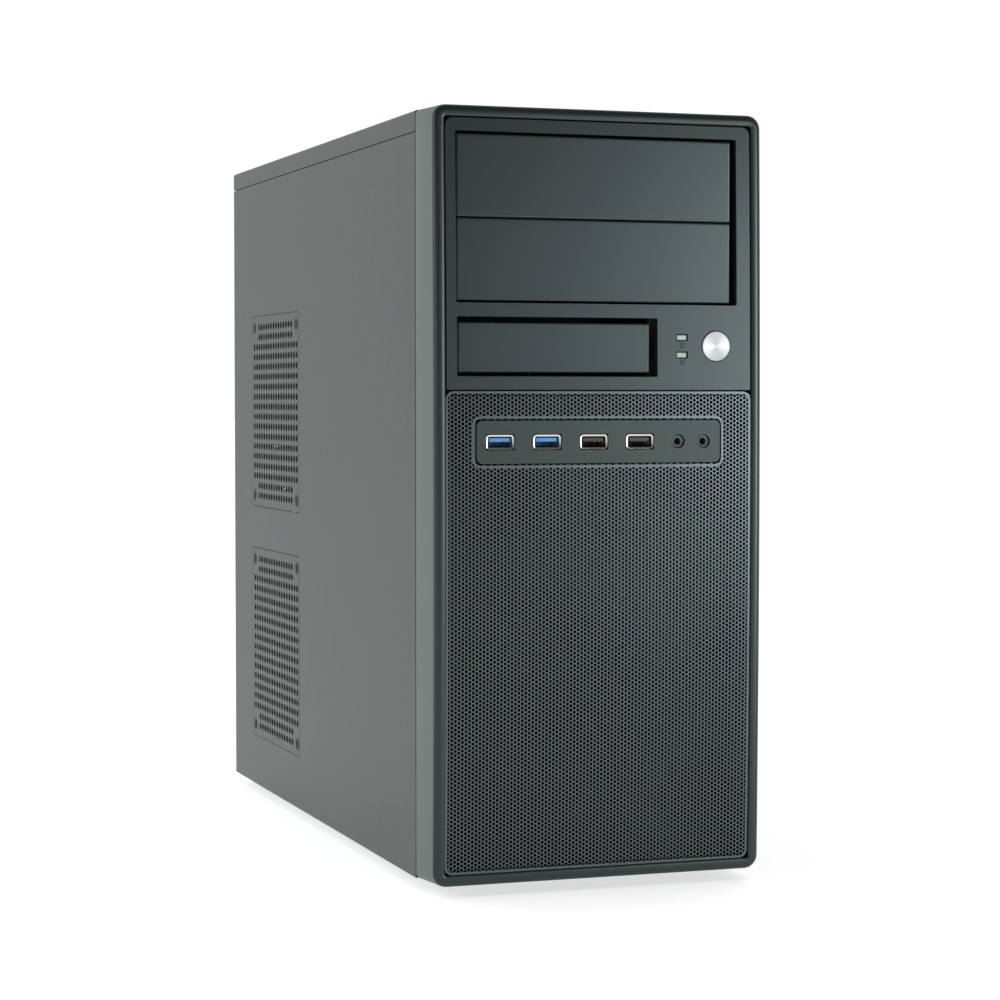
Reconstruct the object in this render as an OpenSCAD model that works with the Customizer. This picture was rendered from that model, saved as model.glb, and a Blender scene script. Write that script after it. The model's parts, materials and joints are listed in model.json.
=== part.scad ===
// Desktop computer tower: steel chassis, plastic front with mesh grille, and the parts inside.
// Front faces -Y, the board side panel is the left one seen from the front (-X), +Z is up.

/* [Case] */
// outside width of the case
body_w = 177; // [176:1:215]
// height of the body above its feet
body_h = 390; // [385:1:470]
// depth from the drive covers to the rear plane
body_d = 430; // [425:1:520]
// height of the rubber feet
foot_h = 6; // [4:1:12]
// diameter of the rubber feet
foot_d = 22; // [16:1:30]
// thickness of the steel sheet
sheet_t = 0.8; // [0.6:0.1:1]
// how far the top cover folds down over the sides
skirt_h = 10.7; // [9:0.1:14]

/* [Front] */
// depth of the plastic front behind the drive covers
bezel_d = 26.9; // [26:0.1:33]
// how far the middle of the front stands out in front of the drive covers
front_out = 5; // [4:0.1:7]
// how much further back the top and bottom of the front are than its middle
front_bow = 3; // [0:0.1:3.4]
// width of the raised rim around the front
rim_w = 5.6; // [4:0.1:8]
// wall thickness of the plastic front
bezel_t = 2.4; // [2:0.1:3]
// outside corner radius of the front
corner_r = 7; // [4:0.5:9]
// height of the seam between the upper face and the mesh
seam_z = 248.4; // [236:0.1:250]
// travel of the power button
button_travel = 1.8; // [1:0.1:2]
// diameter of the power button
button_d = 15.2; // [12:0.1:18]

/* [Drive bays] */
// width of the wide bay covers
cover_w = 148; // [146:0.5:149]
// height of one wide bay cover
cover_h = 41.2; // [40:0.1:41.6]
// width of the narrow bay cover
small_w = 103; // [100:0.5:104]
// height of the narrow bay cover
small_h = 25.2; // [24:0.1:26]
// gap around the bay covers
cover_gap = 1.1; // [0.6:0.1:1.6]

/* [Ports] */
// height of the port panel
port_h = 21.6; // [18:0.1:24]
// length of the port panel
port_w = 131.6; // [126:0.1:136]
// spacing of the USB sockets
usb_pitch = 25.05; // [24:0.05:26]
// bore of the audio jacks
jack_bore = 3.6; // [3.5:0.1:4]

/* [Cooling] */
// size of the rear fan
rear_fan = 92; // [80:1:92]
// size of the power supply fan
psu_fan = 80; // [70:1:80]
// size of the processor fan
cpu_fan = 80; // [70:1:92]

/* [Hidden] */
$fn = 40;
eps = 0.02;
hw = body_w / 2;
// panel-to-frame gap, and the folded edges of the panels
side_gap = 1.2;
fold = 8;
fw = hw - sheet_t - side_gap;
skirt_z = body_h - skirt_h;
panel_top = skirt_z - 0.4;
frame_top = panel_top - sheet_t - 0.3;
base_z = sheet_t + 0.2;
// chassis planes along the depth
seam_gap = 1.6;
shell_y = bezel_d + seam_gap;
front_y = bezel_d + 0.3;
rear_out = body_d - sheet_t - 0.2;
rear_in = rear_out - sheet_t;
head_out = 4;
// feet under the base
foot_x = hw - 28;
foot_y = [70, body_d - 45];
// snaps that hold the front to the chassis
snap_z = [30, 200, body_h - 60];
y_mid = (body_d + head_out - front_out) / 2;
// bezel: rim, face, mesh and port recess behind the bowed front
face_back = 0.7;
mesh_back = 1.3;
skin_t = 2.2;
mesh_t = 1;
in_x = hw - rim_w;
in_z0 = rim_w;
in_z1 = body_h - rim_w;
in_r = 4.5;
rim_back = 2;
clr = 0.3;
// drive bays, measured down from the top
bay_x = -1.8;
bay_z1 = body_h - 13.9;
bay_split = 0.5;
bay_z0 = bay_z1 - 2 * cover_h - bay_split;
small_x = -23.4;
small_z1 = bay_z0 - 10.6;
small_z0 = small_z1 - small_h;
small_open_x1 = small_x + small_w / 2 + 2.6;
cover_depth = 14;
// power button and lights
btn_x = 63;
btn_z = (small_z0 + small_z1) / 2 + 1.2;
led_x = 44.1;
led_w = 5.4;
led_h = 2.6;
led_z = [btn_z + 4.3, btn_z - 4.6];
led_rim = 1;
led_seat = 0.08;
led_flange = 1.8;
// ports
port_x = -0.7;
port_z = seam_z - 25.8;
usb_x0 = -54.1;
usb_w = 13.1;
usb_h = 5.8;
usb_len = 18;
jack_x = [42, 56];
jack_r = 3.2;
jack_len = 14;
port_front = 1.6 - front_out;
// front input/output board
iob_y = 14;
iob_t = 1.6;
iob_feet_x = [-62, 62];
// switch behind the power button, and its plunger
switch_y = 14;
plunger = 2;
// intake holes for the front fan
front_fan_x = -6;
front_fan_z = 84;
intake_rings = 5;
intake_pitch = 11;
intake_r = 3.6;
// power supply
psu_w = 150;
psu_h = 86;
psu_d = 140;
psu_z1 = body_h - sheet_t - 5.2;
psu_z0 = psu_z1 - psu_h;
psu_y0 = rear_in - psu_d;
psu_fan_x = -26;
// screw points of the power supply, across and above its lower edge, and the tabs under them
psu_holes = [[-69, 6], [-69, psu_h - 16], [45, 6], [69, psu_h - 16]];
psu_tab = 5;
// cable bundle that leaves the inner end
cable_x = 50;
cable_r = 6.5;
psu_cz = (psu_z0 + psu_z1) / 2;
plug_x = 44;
inlet_z = psu_cz + 16;
inlet_w = 27.4;
inlet_h = 19.8;
rocker_z = psu_cz - 20;
rocker_w = 15;
rocker_h = 21;
rocker_gap = 0.3;
rocker_wall = 1.4;
rocker_pin_r = 1.1;
rocker_pin_in = 2.8;
inlet_flange = 1.1;
// main board
board_s = 244;
board_t = 1.6;
tray_x = hw - 20.5;
stand_h = 6.5;
board_x1 = tray_x - stand_h;
board_x0 = board_x1 - board_t;
board_y1 = rear_in - 1.2;
board_y0 = board_y1 - board_s;
board_z1 = psu_z0 - 16;
board_z0 = board_z1 - board_s;
io_len = 158.7;
io_wid = 44.4;
// screw points of the board
stand_pts = [for (y = [22, 165, 220], z = [14, 128, 235]) [board_y0 + y, board_z0 + z]];
io_x1 = board_x0 + 2;
io_x0 = io_x1 - io_wid;
io_z1 = board_z1 - 5;
io_z0 = io_z1 - io_len;
// connectors of the board's rear edge: height along the board, length, reach from the board
rear_conn = [[6, 14, 14], [24, 16, 32], [45, 16, 15.6], [66, 31, 12.6], [102, 17, 29.6], [124, 30, 32]];
slot_pitch = 20.32;
slot_n = 4;
slot_z1 = io_z0 - 15;
slot_w = 18.4;
slot_x1 = board_x0 + 2;
slot_x0 = slot_x1 - 106;
slot_open = 13;
// processor cooler
cpu_y = board_y1 - 98;
cpu_z = board_z1 - 66;
socket_h = 4.6;
sink_base = 6;
sink_h = 34;
fins = 23;
fin_t = 1.2;
cpu_frame_d = 20;
sink_x1 = board_x0 - socket_h;
sink_x0 = sink_x1 - sink_base - sink_h;
// rear fan
fan_d = 25;
fan_x = io_x0 - 2.5 - rear_fan / 2;
fan_z = io_z1 - 24 - rear_fan / 2;
// memory
dimm_y = [board_y0 + 46, board_y0 + 56];
dimm_len = 140;
dimm_z0 = board_z1 - 152;
dimm_w = 7;
dimm_h = 9;
mod_len = 133.3;
mod_h = 30;
latch_x = board_x0 - 9;
latch_pin_x = latch_x + 3.6;
latch_pin_up = 2.4;
latch_pin_r = 1;
lug_t = 0.7;
// hard drive, in its cage under the narrow bay
hdd_w = 101.6;
hdd_h = 26.1;
hdd_l = 147;
hdd_x0 = small_x - hdd_w / 2;
hdd_y0 = front_y + 12;
hdd_z0 = small_z0 - 80;
cage_y0 = front_y + sheet_t;
// the tray's front edge, and the gap the wide cage keeps from its folded flange
tray_y0 = board_y0 - 6;
cage_gap = 2.2;
cage_d = tray_y0 - sheet_t - cage_gap - cage_y0;
hdd_cage_d = 145;
cage_t = 1;
drive_hole_y = [hdd_y0 + 28.5, hdd_y0 + 70, hdd_y0 + 130];
screw_r = 1.5;
head_r = 3.2;
head_h = 1.9;
hole_r = 1.8;
// thumb screws on the rear edges
thumb_z = [body_h - 48.7, 40.5];
thumb_x = hw - 7;
thumb_r = 5;
thumb_shaft = 5.5;
// sockets on the board's front edge, the cables' ends
atx_z = board_z1 - 90;
atx_len = 52;
sata_z = board_z0 + 62;
hdr_z = board_z0 + 16;
atx_plug_x = board_x0 - 12;
// vent fields of the left panel: long slots in rows
vent_y0 = body_d - 164;
vent_len = 105;
vent_rows = 18;
vent_pitch = 6.3;
vent_h = 3.4;
vent_web = 3;
vent_cut = 14;
vent_z = [body_h - 206.4, 38.2];
panel_flange = 12.4;

// ---- helpers ----

// moves the case frame (origin at the drive covers' plane, body bottom) to the resting place
module place() {
    translate([0, -y_mid, foot_h])
        children();
}

module box(x, y, z) {
    translate([min(x[0], x[1]), min(y[0], y[1]), min(z[0], z[1])])
        cube([abs(x[1] - x[0]), abs(y[1] - y[0]), abs(z[1] - z[0])]);
}

module yrod(x, z, y0, y1, r) {
    translate([x, y0, z])
        rotate([-90, 0, 0])
            cylinder(r = r, h = y1 - y0);
}

module xrod(y, z, x0, x1, r) {
    translate([x0, y, z])
        rotate([0, 90, 0])
            cylinder(r = r, h = x1 - x0);
}

module zrod(x, y, z0, z1, r) {
    translate([x, y, z0])
        cylinder(r = r, h = z1 - z0);
}

// rounded rectangle from its corners, as squares and circles
module rrect(x, z, r) {
    translate([x[0] + r, z[0]])
        square([x[1] - x[0] - 2 * r, z[1] - z[0]]);
    translate([x[0], z[0] + r])
        square([x[1] - x[0], z[1] - z[0] - 2 * r]);
    for (px = [x[0] + r, x[1] - r], pz = [z[0] + r, z[1] - r])
        translate([px, pz])
            circle(r = r);
}

// rounded block facing the front, from y0 back to y1
module block(x, z, r, y0, y1) {
    translate([0, y1, 0])
        rotate([90, 0, 0])
            linear_extrude(y1 - y0)
                rrect(x, z, r);
}

// the bowed front line, and a solid behind it down to y1
function bow(z) = -front_out + front_bow * pow((z - body_h / 2) / (body_h / 2), 2);

module behind_bow(back, y1) {
    steps = 14;
    translate([-hw - 1, 0, 0])
        rotate([90, 0, 90])
            linear_extrude(body_w + 2)
                polygon(concat([for (i = [0:steps]) [bow(body_h * i / steps) + back, body_h * i / steps]],
                    [[y1, body_h], [y1, 0]]));
}

// a sheet that follows the bow, t thick, starting back behind it
module bowed_sheet(back, t) {
    difference() {
        behind_bow(back, bezel_d);
        translate([0, eps, 0])
            behind_bow(back + t, bezel_d + 1);
    }
}

function usb_x(i) = usb_x0 + i * usb_pitch;

// ---- chassis ----

module base_plate() {
    color("silver")
    difference() {
        union() {
            box([-fw, fw], [front_y + sheet_t, rear_in], [base_z, base_z + sheet_t]);
            for (s = [-1, 1])
                box([s * fw, s * (fw - sheet_t)], [front_y + sheet_t, rear_in], [base_z, base_z + 12]);
        }
        for (s = [-1, 1], y = foot_y)
            zrod(s * foot_x, y, base_z - 1, base_z + 2, 2.6);
    }
}

module feet() {
    color("black")
    for (s = [-1, 1], y = foot_y)
        translate([s * foot_x, y, -foot_h])
            difference() {
                union() {
                    cylinder(d1 = foot_d - 3, d2 = foot_d, h = foot_h + base_z - clr / 2);
                    cylinder(r = 2.4, h = foot_h + base_z + sheet_t + 1.2);
                    translate([0, 0, foot_h + base_z + sheet_t + clr])
                        cylinder(r1 = 3.6, r2 = 2.4, h = 1.5);
                }
                translate([0, 0, -eps])
                    cylinder(r = foot_d / 4, h = 1.6);
            }
}

module wall_outline(y, z0) {
    box([-fw, fw], y, [z0, frame_top]);
    box([-(fw - fold - 1), fw - fold - 1], y, [frame_top - 1, body_h - sheet_t]);
}

// six-sided holes in rings round a middle one
module ring_of_holes(x, z, y, rings, pitch, r) {
    yrod(x, z, y[0], y[1], r, $fn = 6);
    for (ring = [1:rings])
        for (k = [0:ring * 6 - 1])
            yrod(x + ring * pitch * cos(k * 60 / ring), z + ring * pitch * sin(k * 60 / ring), y[0],
                y[1], r,
                $fn = 6);
}

module front_plate() {
    color("silver")
    difference() {
        union() {
            wall_outline([front_y, front_y + sheet_t], base_z);
            for (s = [-1, 1])
                box([s * fw, s * (fw - sheet_t)], [front_y, front_y + 10], [base_z + 13, frame_top]);
        }
        box([bay_x - cover_w / 2 - 1, bay_x + cover_w / 2 + 1], [front_y - 1, front_y + 2],
            [bay_z0 - 1, bay_z1 + 1]);
        box([small_x - small_w / 2 - 1, small_x + small_w / 2 + 1], [front_y - 1, front_y + 2],
            [small_z0 - 1, small_z1 + 1]);
        box([34, 60], [front_y - 1, front_y + 2], [port_z - 10, port_z + 9]);
        for (s = [-1, 1], z = snap_z)
            box([s * (hw - 5), s * (hw - 12)], [front_y - 1, front_y + 2], [z - 7, z + 7]);
        ring_of_holes(front_fan_x, front_fan_z, [front_y - 1, front_y + 2], intake_rings, intake_pitch,
            intake_r);
        for (z = [btn_z - 10, btn_z + 10])
            yrod(btn_x, z, front_y - 1, front_y + 2, hole_r);
        for (x = iob_feet_x)
            yrod(x, port_z, front_y - 1, front_y + 2, hole_r);
    }
}

module rear_panel() {
    color("silver")
    difference() {
        union() {
            wall_outline([rear_in, rear_out], base_z);
            for (s = [-1, 1])
                box([s * fw, s * (fw - sheet_t)], [rear_in - 10, rear_out], [base_z + 13, frame_top]);
            box([slot_x0 - 2 * sheet_t, slot_x0 - sheet_t], [rear_in - 12, rear_in],
                [slot_z1 - slot_n * slot_pitch + 9, slot_z1 + 11]);
        }
        // power supply window, leaving the screw tabs
        difference() {
            block([-psu_w / 2 + 2, psu_w / 2 - 2], [psu_z0 + 2, psu_z1 - 2], 4, rear_in - 1, rear_out + 1);
            for (h = psu_holes)
                box([h[0] - psu_tab - 1, h[0] + psu_tab + 1], [rear_in - 2, rear_out + 2],
                    [psu_z0 + h[1] - psu_tab - 1, psu_z0 + h[1] + psu_tab]);
        }
        for (h = psu_holes)
            yrod(h[0], psu_z0 + h[1], rear_in - 1, rear_out + 1, hole_r);
        // board connector window and card slots
        box([io_x0 + 1, io_x1 - 1], [rear_in - 1, rear_out + 1], [io_z0 + 1, io_z1 - 1]);
        for (i = [0:slot_n - 1])
            box([slot_x0 + 4, slot_x1 - 6], [rear_in - 1, rear_out + 1],
                [slot_z1 - i * slot_pitch - slot_open / 2, slot_z1 - i * slot_pitch + slot_open / 2]);
        for (i = [0:slot_n - 1])
            xrod(rear_in - 7, slot_z1 - i * slot_pitch, slot_x0 - 4, slot_x0 + 1, hole_r);
        // fan grille and its screw holes
        ring_of_holes(fan_x, fan_z, [rear_in - 1, rear_out + 1], 5, rear_fan / 11.5, rear_fan / 30);
        for (sx = [-1, 1], sz = [-1, 1])
            yrod(fan_x + sx * fan_hole(rear_fan), fan_z + sz * fan_hole(rear_fan), rear_in - 1,
                rear_out + 1,
                hole_r);
        // thumb screw holes
        for (s = [-1, 1], z = thumb_z)
            yrod(s * thumb_x, z, rear_in - 1, rear_out + 1, 2.3);
    }
}

function fan_hole(size) = size / 2 - 4.9;

module board_tray() {
    color("silver")
    difference() {
        union() {
            box([tray_x, tray_x + sheet_t], [tray_y0, rear_in], [base_z + sheet_t, board_z1 + 8]);
            box([tray_x, tray_x + 14], [tray_y0, rear_in], [base_z + sheet_t, base_z + 2 * sheet_t]);
            box([tray_x, tray_x + 10], [tray_y0, rear_in - 12],
                [board_z1 + 8, board_z1 + 8 + sheet_t]);
            box([tray_x, tray_x + 10], [tray_y0 - sheet_t, tray_y0],
                [base_z + sheet_t, board_z1 + 8 + sheet_t]);
        }
        for (p = stand_pts)
            xrod(p[0], p[1], tray_x - 1, tray_x + 2, hole_r);
        // cut-out behind the processor socket
        box([tray_x - 1, tray_x + 2], [cpu_y - 35, cpu_y + 35], [cpu_z - 35, cpu_z + 35]);
    }
}

module top_cover() {
    color("dimgray")
    union() {
        box([-hw, hw], [shell_y, body_d], [body_h - sheet_t, body_h]);
        for (s = [-1, 1])
            box([s * hw, s * (hw - sheet_t)], [shell_y, body_d], [skirt_z, body_h]);
    }
}

module bay_cage() {
    x0 = bay_x - cover_w / 2 - 1 - cage_t;
    x1 = bay_x + cover_w / 2 + 1;
    color("silver")
    difference() {
        union() {
            for (x = [x0, x1])
                box([x, x + cage_t], [cage_y0, cage_y0 + cage_d], [bay_z0 - 4, body_h - sheet_t]);
            box([x0, x1 + cage_t], [cage_y0, cage_y0 + cage_d], [bay_z0 - 4 - cage_t, bay_z0 - 4]);
            for (x = [small_x - small_w / 2 - 1 - cage_t, small_x + small_w / 2 + 1])
                box([x, x + cage_t], [cage_y0, cage_y0 + cage_d], [small_z0 - 4, bay_z0 - 4]);
            // folded rails that carry the drives
            for (z = [bay_z0 - 1, bay_z0 + cover_h + bay_split - 1]) {
                box([x0 + cage_t, x0 + cage_t + 4], [cage_y0 + 10, cage_y0 + cage_d - 10], [z - cage_t, z]);
                box([x1 - 4, x1], [cage_y0 + 10, cage_y0 + cage_d - 10], [z - cage_t, z]);
            }
        }
        for (y = [30, 60, 110, 130], z = [bay_z0 + 10, bay_z0 + cover_h + 11])
            xrod(cage_y0 + y, z, x0 - 1, x1 + 2, hole_r);
        for (y = [20, 90])
            xrod(cage_y0 + y, small_z0 + 8, x0 - 1, x1 + 2, hole_r);
        for (y = [45, 100])
            box([x0 - 1, x1 + 2], [cage_y0 + y, cage_y0 + y + 30], [bay_z0 + 18, bay_z0 + 30]);
    }
}

module drive_cage() {
    x0 = hdd_x0 - 0.3 - cage_t;
    x1 = hdd_x0 + hdd_w + 0.3;
    z1 = small_z0 - 4;
    z0 = hdd_z0 - 22;
    color("silver")
    difference() {
        union() {
            for (x = [x0, x1])
                box([x, x + cage_t], [cage_y0, cage_y0 + hdd_cage_d], [z0, z1]);
            box([x0, x1 + cage_t], [cage_y0, cage_y0 + hdd_cage_d], [z0 - cage_t, z0]);
            box([small_x - small_w / 2 - 1 - cage_t, small_x + small_w / 2 + 1 + cage_t],
                [cage_y0, cage_y0 + hdd_cage_d], [z1 - cage_t, z1]);
        }
        for (y = drive_hole_y)
            xrod(y, hdd_z0 + 6.4, x0 - 1, x1 + 2, hole_r);
        for (y = [25, 85])
            box([x0 - 1, x1 + 2], [cage_y0 + y, cage_y0 + y + 40], [z0 + 30 + hdd_h, z1 - 12]);
        box([x0 + 12, x1 - 12], [cage_y0 + 20, cage_y0 + hdd_cage_d - 22], [z0 - 2, z0 + 1]);
    }
}

module slot_covers() {
    color("gainsboro")
    for (i = [0:slot_n - 1])
        translate([0, 0, slot_z1 - i * slot_pitch])
            difference() {
                union() {
                    box([slot_x0, slot_x1], [rear_in - sheet_t, rear_in], [-slot_w / 2, slot_w / 2]);
                    box([slot_x0 - sheet_t, slot_x0], [rear_in - 11.5, rear_in], [-slot_w / 2, slot_w / 2]);
                }
                xrod(rear_in - 7, 0, slot_x0 - 2, slot_x0 + 1, hole_r);
            }
}

module io_shield() {
    color("silver")
    difference() {
        union() {
            box([io_x0, io_x1], [rear_in - 0.3, rear_in], [io_z0, io_z1]);
            block([io_x0 + 1.3, io_x1 - 1.3], [io_z0 + 1.3, io_z1 - 1.3], 1.5, rear_in - 0.3,
                rear_out + 0.3);
        }
        block([io_x0 + 1.7, io_x1 - 1.7], [io_z0 + 1.7, io_z1 - 1.7], 1.5, rear_in - 1, rear_out);
        for (c = rear_conn)
            box([board_x0 - c[2] - 0.3, board_x0 + 0.3], [rear_in - 2, rear_out + 1],
                [io_z1 - c[0] - c[1] - 0.3, io_z1 - c[0] + 0.3]);
    }
}

module rear_ports() {
    color("lightgray")
    for (c = rear_conn) {
        zc = io_z1 - c[0] - c[1] / 2;
        difference() {
            box([board_x0 - c[2], board_x0], [rear_in - 18, rear_out + 0.8],
                [zc - c[1] / 2, zc + c[1] / 2]);
            if (c[2] > 20)
                for (k = [0:floor(c[2] / 9) - 1])
                    box([board_x0 - 3 - k * 9 - 5.2, board_x0 - 3 - k * 9], [rear_in - 6, rear_out + 2],
                        [zc - c[1] / 2 + 1.5, zc + c[1] / 2 - 1.5]);
            if (c[2] <= 20)
                box([board_x0 - c[2] + 2, board_x0 - 2.4], [rear_in - 6, rear_out + 2],
                    [zc - c[1] / 2 + 2, zc + c[1] / 2 - 2]);
        }
    }
}

module motherboard() {
    color("darkgreen")
    difference() {
        box([board_x0, board_x1], [board_y0, board_y1], [board_z0, board_z1]);
        for (p = stand_pts)
            xrod(p[0], p[1], board_x0 - 1, board_x1 + 1, hole_r);
    }
}

module standoffs() {
    color("gold")
    for (p = stand_pts)
        difference() {
            union() {
                xrod(p[0], p[1], board_x1, tray_x, 3, $fn = 6);
                xrod(p[0], p[1], tray_x - 1, tray_x + sheet_t + 2, 1.6);
            }
            xrod(p[0], p[1], board_x1 - 1, board_x1 + 5.5, hole_r);
        }
}

module screw_y(x, z, y, back) {
    yrod(x, z, y, y + head_h, head_r, $fn = 24);
    yrod(x, z, y - back, y + head_h / 2, screw_r, $fn = 24);
}

module screw_x(y, z, x, back) {
    xrod(y, z, x - head_h, x, head_r, $fn = 24);
    xrod(y, z, x - head_h / 2, x + back, screw_r, $fn = 24);
}

module case_screws() {
    color("silver") {
        for (h = psu_holes)
            screw_y(h[0], psu_z0 + h[1], rear_out, 6);
        for (sx = [-1, 1], sz = [-1, 1])
            screw_y(fan_x + sx * fan_hole(rear_fan), fan_z + sz * fan_hole(rear_fan), rear_out, 9);
        for (p = stand_pts)
            screw_x(p[0], p[1], board_x0, 5);
        for (i = [0:slot_n - 1])
            screw_x(rear_in - 7, slot_z1 - i * slot_pitch, slot_x0 - 2 * sheet_t, 4.5);
        for (y = [drive_hole_y[0], drive_hole_y[2]])
            screw_x(y, hdd_z0 + 6.4, hdd_x0 - 0.3 - cage_t, 4);
    }
}

module cpu_socket() {
    color("gainsboro")
    union() {
        box([board_x0 - 3.2, board_x0], [cpu_y - 27, cpu_y + 27], [cpu_z - 26, cpu_z + 26]);
        box([board_x0 - socket_h, board_x0 - 3.2], [cpu_y - 17, cpu_y + 17], [cpu_z - 17, cpu_z + 17]);
        // lever along one side
        zrod(board_x0 - 1.6, cpu_y + 29.2, cpu_z - 22, cpu_z + 26, 1);
        box([board_x0 - 2.4, board_x0 - 0.8], [cpu_y + 26, cpu_y + 29.5], [cpu_z - 22, cpu_z - 19]);
    }
}

module heatsink() {
    color("silver")
    difference() {
        union() {
            box([sink_x1 - sink_base, sink_x1], [cpu_y - cpu_fan / 2, cpu_y + cpu_fan / 2],
                [cpu_z - cpu_fan / 2, cpu_z + cpu_fan / 2]);
            for (i = [0:fins - 1])
                translate([0, 0, cpu_z - cpu_fan / 2 + i * (cpu_fan - fin_t) / (fins - 1)])
                    box([sink_x0, sink_x1 - 1], [cpu_y - cpu_fan / 2, cpu_y + cpu_fan / 2], [0, fin_t]);
        }
        box([sink_x0 - 1, sink_x1 - sink_base - 10], [cpu_y - 16, cpu_y + 16], [cpu_z - 16, cpu_z + 16]);
    }
}

// ---- fans: the frame's axis runs along Z, from 0 to d ----

module fan_body(size, d) {
    difference() {
        linear_extrude(d)
            rrect([-size / 2, size / 2], [-size / 2, size / 2], 4);
        translate([0, 0, -1])
            cylinder(r = size / 2 - 2, h = d + 2, $fn = 72);
        for (sx = [-1, 1], sy = [-1, 1])
            translate([sx * fan_hole(size), sy * fan_hole(size), -1])
                cylinder(r = hole_r, h = d + 2, $fn = 24);
        // the waist between the two screw flanges
        if (d > 16)
            for (sx = [-1, 1], sy = [-1, 1])
                translate([sx * (size / 2 + 3.1), sy * (size / 2 + 3.1), 4])
                    cylinder(r = 12, h = d - 8, $fn = 24);
    }
    // motor carrier and its struts
    cylinder(r = size * 0.21, h = 3);
    for (k = [0:3])
        rotate([0, 0, 45 + k * 90])
            translate([size * 0.2, -1.5, 0])
                cube([size * 0.31, 3, 3]);
}

module fan_rotor(size, d) {
    r_in = size / 2 - 3;
    hub = size * 0.2;
    translate([0, 0, 3.8])
        cylinder(r = hub, h = d - 5.4);
    intersection() {
        translate([0, 0, 3.8])
            cylinder(r = r_in, h = d - 5.4, $fn = 72);
        for (k = [0:6])
            rotate([0, 0, k * 360 / 7])
                translate([hub - 1, 0, d / 2 + 0.6])
                    rotate([48, 0, 0])
                        translate([0, -size * 0.17, -0.7])
                            cube([r_in, size * 0.34, 1.4]);
    }
}

// turns a fan so that it faces the board
module to_board(y, z, x1) {
    translate([x1, y, z])
        rotate([0, -90, 0])
            children();
}

module cooler_frame() {
    color("black")
    to_board(cpu_y, cpu_z, sink_x0)
        fan_body(cpu_fan, cpu_frame_d);
}

module cpu_fan_rotor() {
    color("dimgray")
    to_board(cpu_y, cpu_z, sink_x0)
        fan_rotor(cpu_fan, cpu_frame_d);
}

module rear_fan_frame() {
    color("black")
    translate([fan_x, rear_in, fan_z])
        rotate([90, 0, 0])
            fan_body(rear_fan, fan_d);
}

module rear_fan_rotor() {
    color("dimgray")
    translate([fan_x, rear_in, fan_z])
        rotate([90, 0, 0])
            fan_rotor(rear_fan, fan_d);
}

module psu_fan_frame() {
    color("black")
    translate([psu_fan_x, rear_in - sheet_t, psu_cz])
        rotate([90, 0, 0])
            fan_body(psu_fan, fan_d);
}

module psu_fan_rotor() {
    color("dimgray")
    translate([psu_fan_x, rear_in - sheet_t, psu_cz])
        rotate([90, 0, 0])
            fan_rotor(psu_fan, fan_d);
}

module psu_guard() {
    color("silver")
    translate([psu_fan_x, rear_in, psu_cz])
        rotate([-90, 0, 0]) {
            for (r = [14, 21, 28, 35])
                translate([0, 0, 1.8])
                    rotate_extrude($fn = 48)
                        translate([min(r, psu_fan / 2 - 4), 0])
                            circle(r = 0.8, $fn = 8);
            for (a = [45, 135])
                rotate([0, 0, a])
                    translate([-fan_hole(psu_fan) * sqrt(2), 0, 0.75])
                        rotate([0, 90, 0])
                            cylinder(r = 0.74, h = fan_hole(psu_fan) * 2 * sqrt(2), $fn = 12);
        }
}

module psu_case() {
    color("silver")
    difference() {
        box([-psu_w / 2, psu_w / 2], [psu_y0, rear_in], [psu_z0, psu_z1]);
        box([-psu_w / 2 + sheet_t, psu_w / 2 - sheet_t], [psu_y0 + sheet_t, rear_in - sheet_t],
            [psu_z0 + sheet_t, psu_z1 - sheet_t]);
        yrod(psu_fan_x, psu_cz, rear_in - 2, rear_in + 1, psu_fan / 2 - 2.5);
        for (sx = [-1, 1], sz = [-1, 1])
            yrod(psu_fan_x + sx * fan_hole(psu_fan), psu_cz + sz * fan_hole(psu_fan), rear_in - 2,
                rear_in + 1,
                hole_r);
        for (h = psu_holes)
            yrod(h[0], psu_z0 + h[1], rear_in - 2, rear_in + 1, hole_r);
        box([plug_x - inlet_w / 2 - 0.2, plug_x + inlet_w / 2 + 0.2], [rear_in - 2, rear_in + 1],
            [inlet_z - inlet_h / 2 - 0.2, inlet_z + inlet_h / 2 + 0.2]);
        box([plug_x - rocker_w / 2 - 0.2, plug_x + rocker_w / 2 + 0.2], [rear_in - 2, rear_in + 1],
            [rocker_z - rocker_h / 2 - 0.2, rocker_z + rocker_h / 2 + 0.2]);
        // vent slots in the inner end, and the cable hole
        for (i = [0:9], z = [-18, 12])
            box([-66 + i * 9, -66 + i * 9 + 4], [psu_y0 - 1, psu_y0 + 2],
                [psu_cz + z - 11, psu_cz + z + 11]);
        yrod(cable_x, psu_z0 + 18, psu_y0 - 1, psu_y0 + 2, cable_r + 0.4);
    }
}

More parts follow.
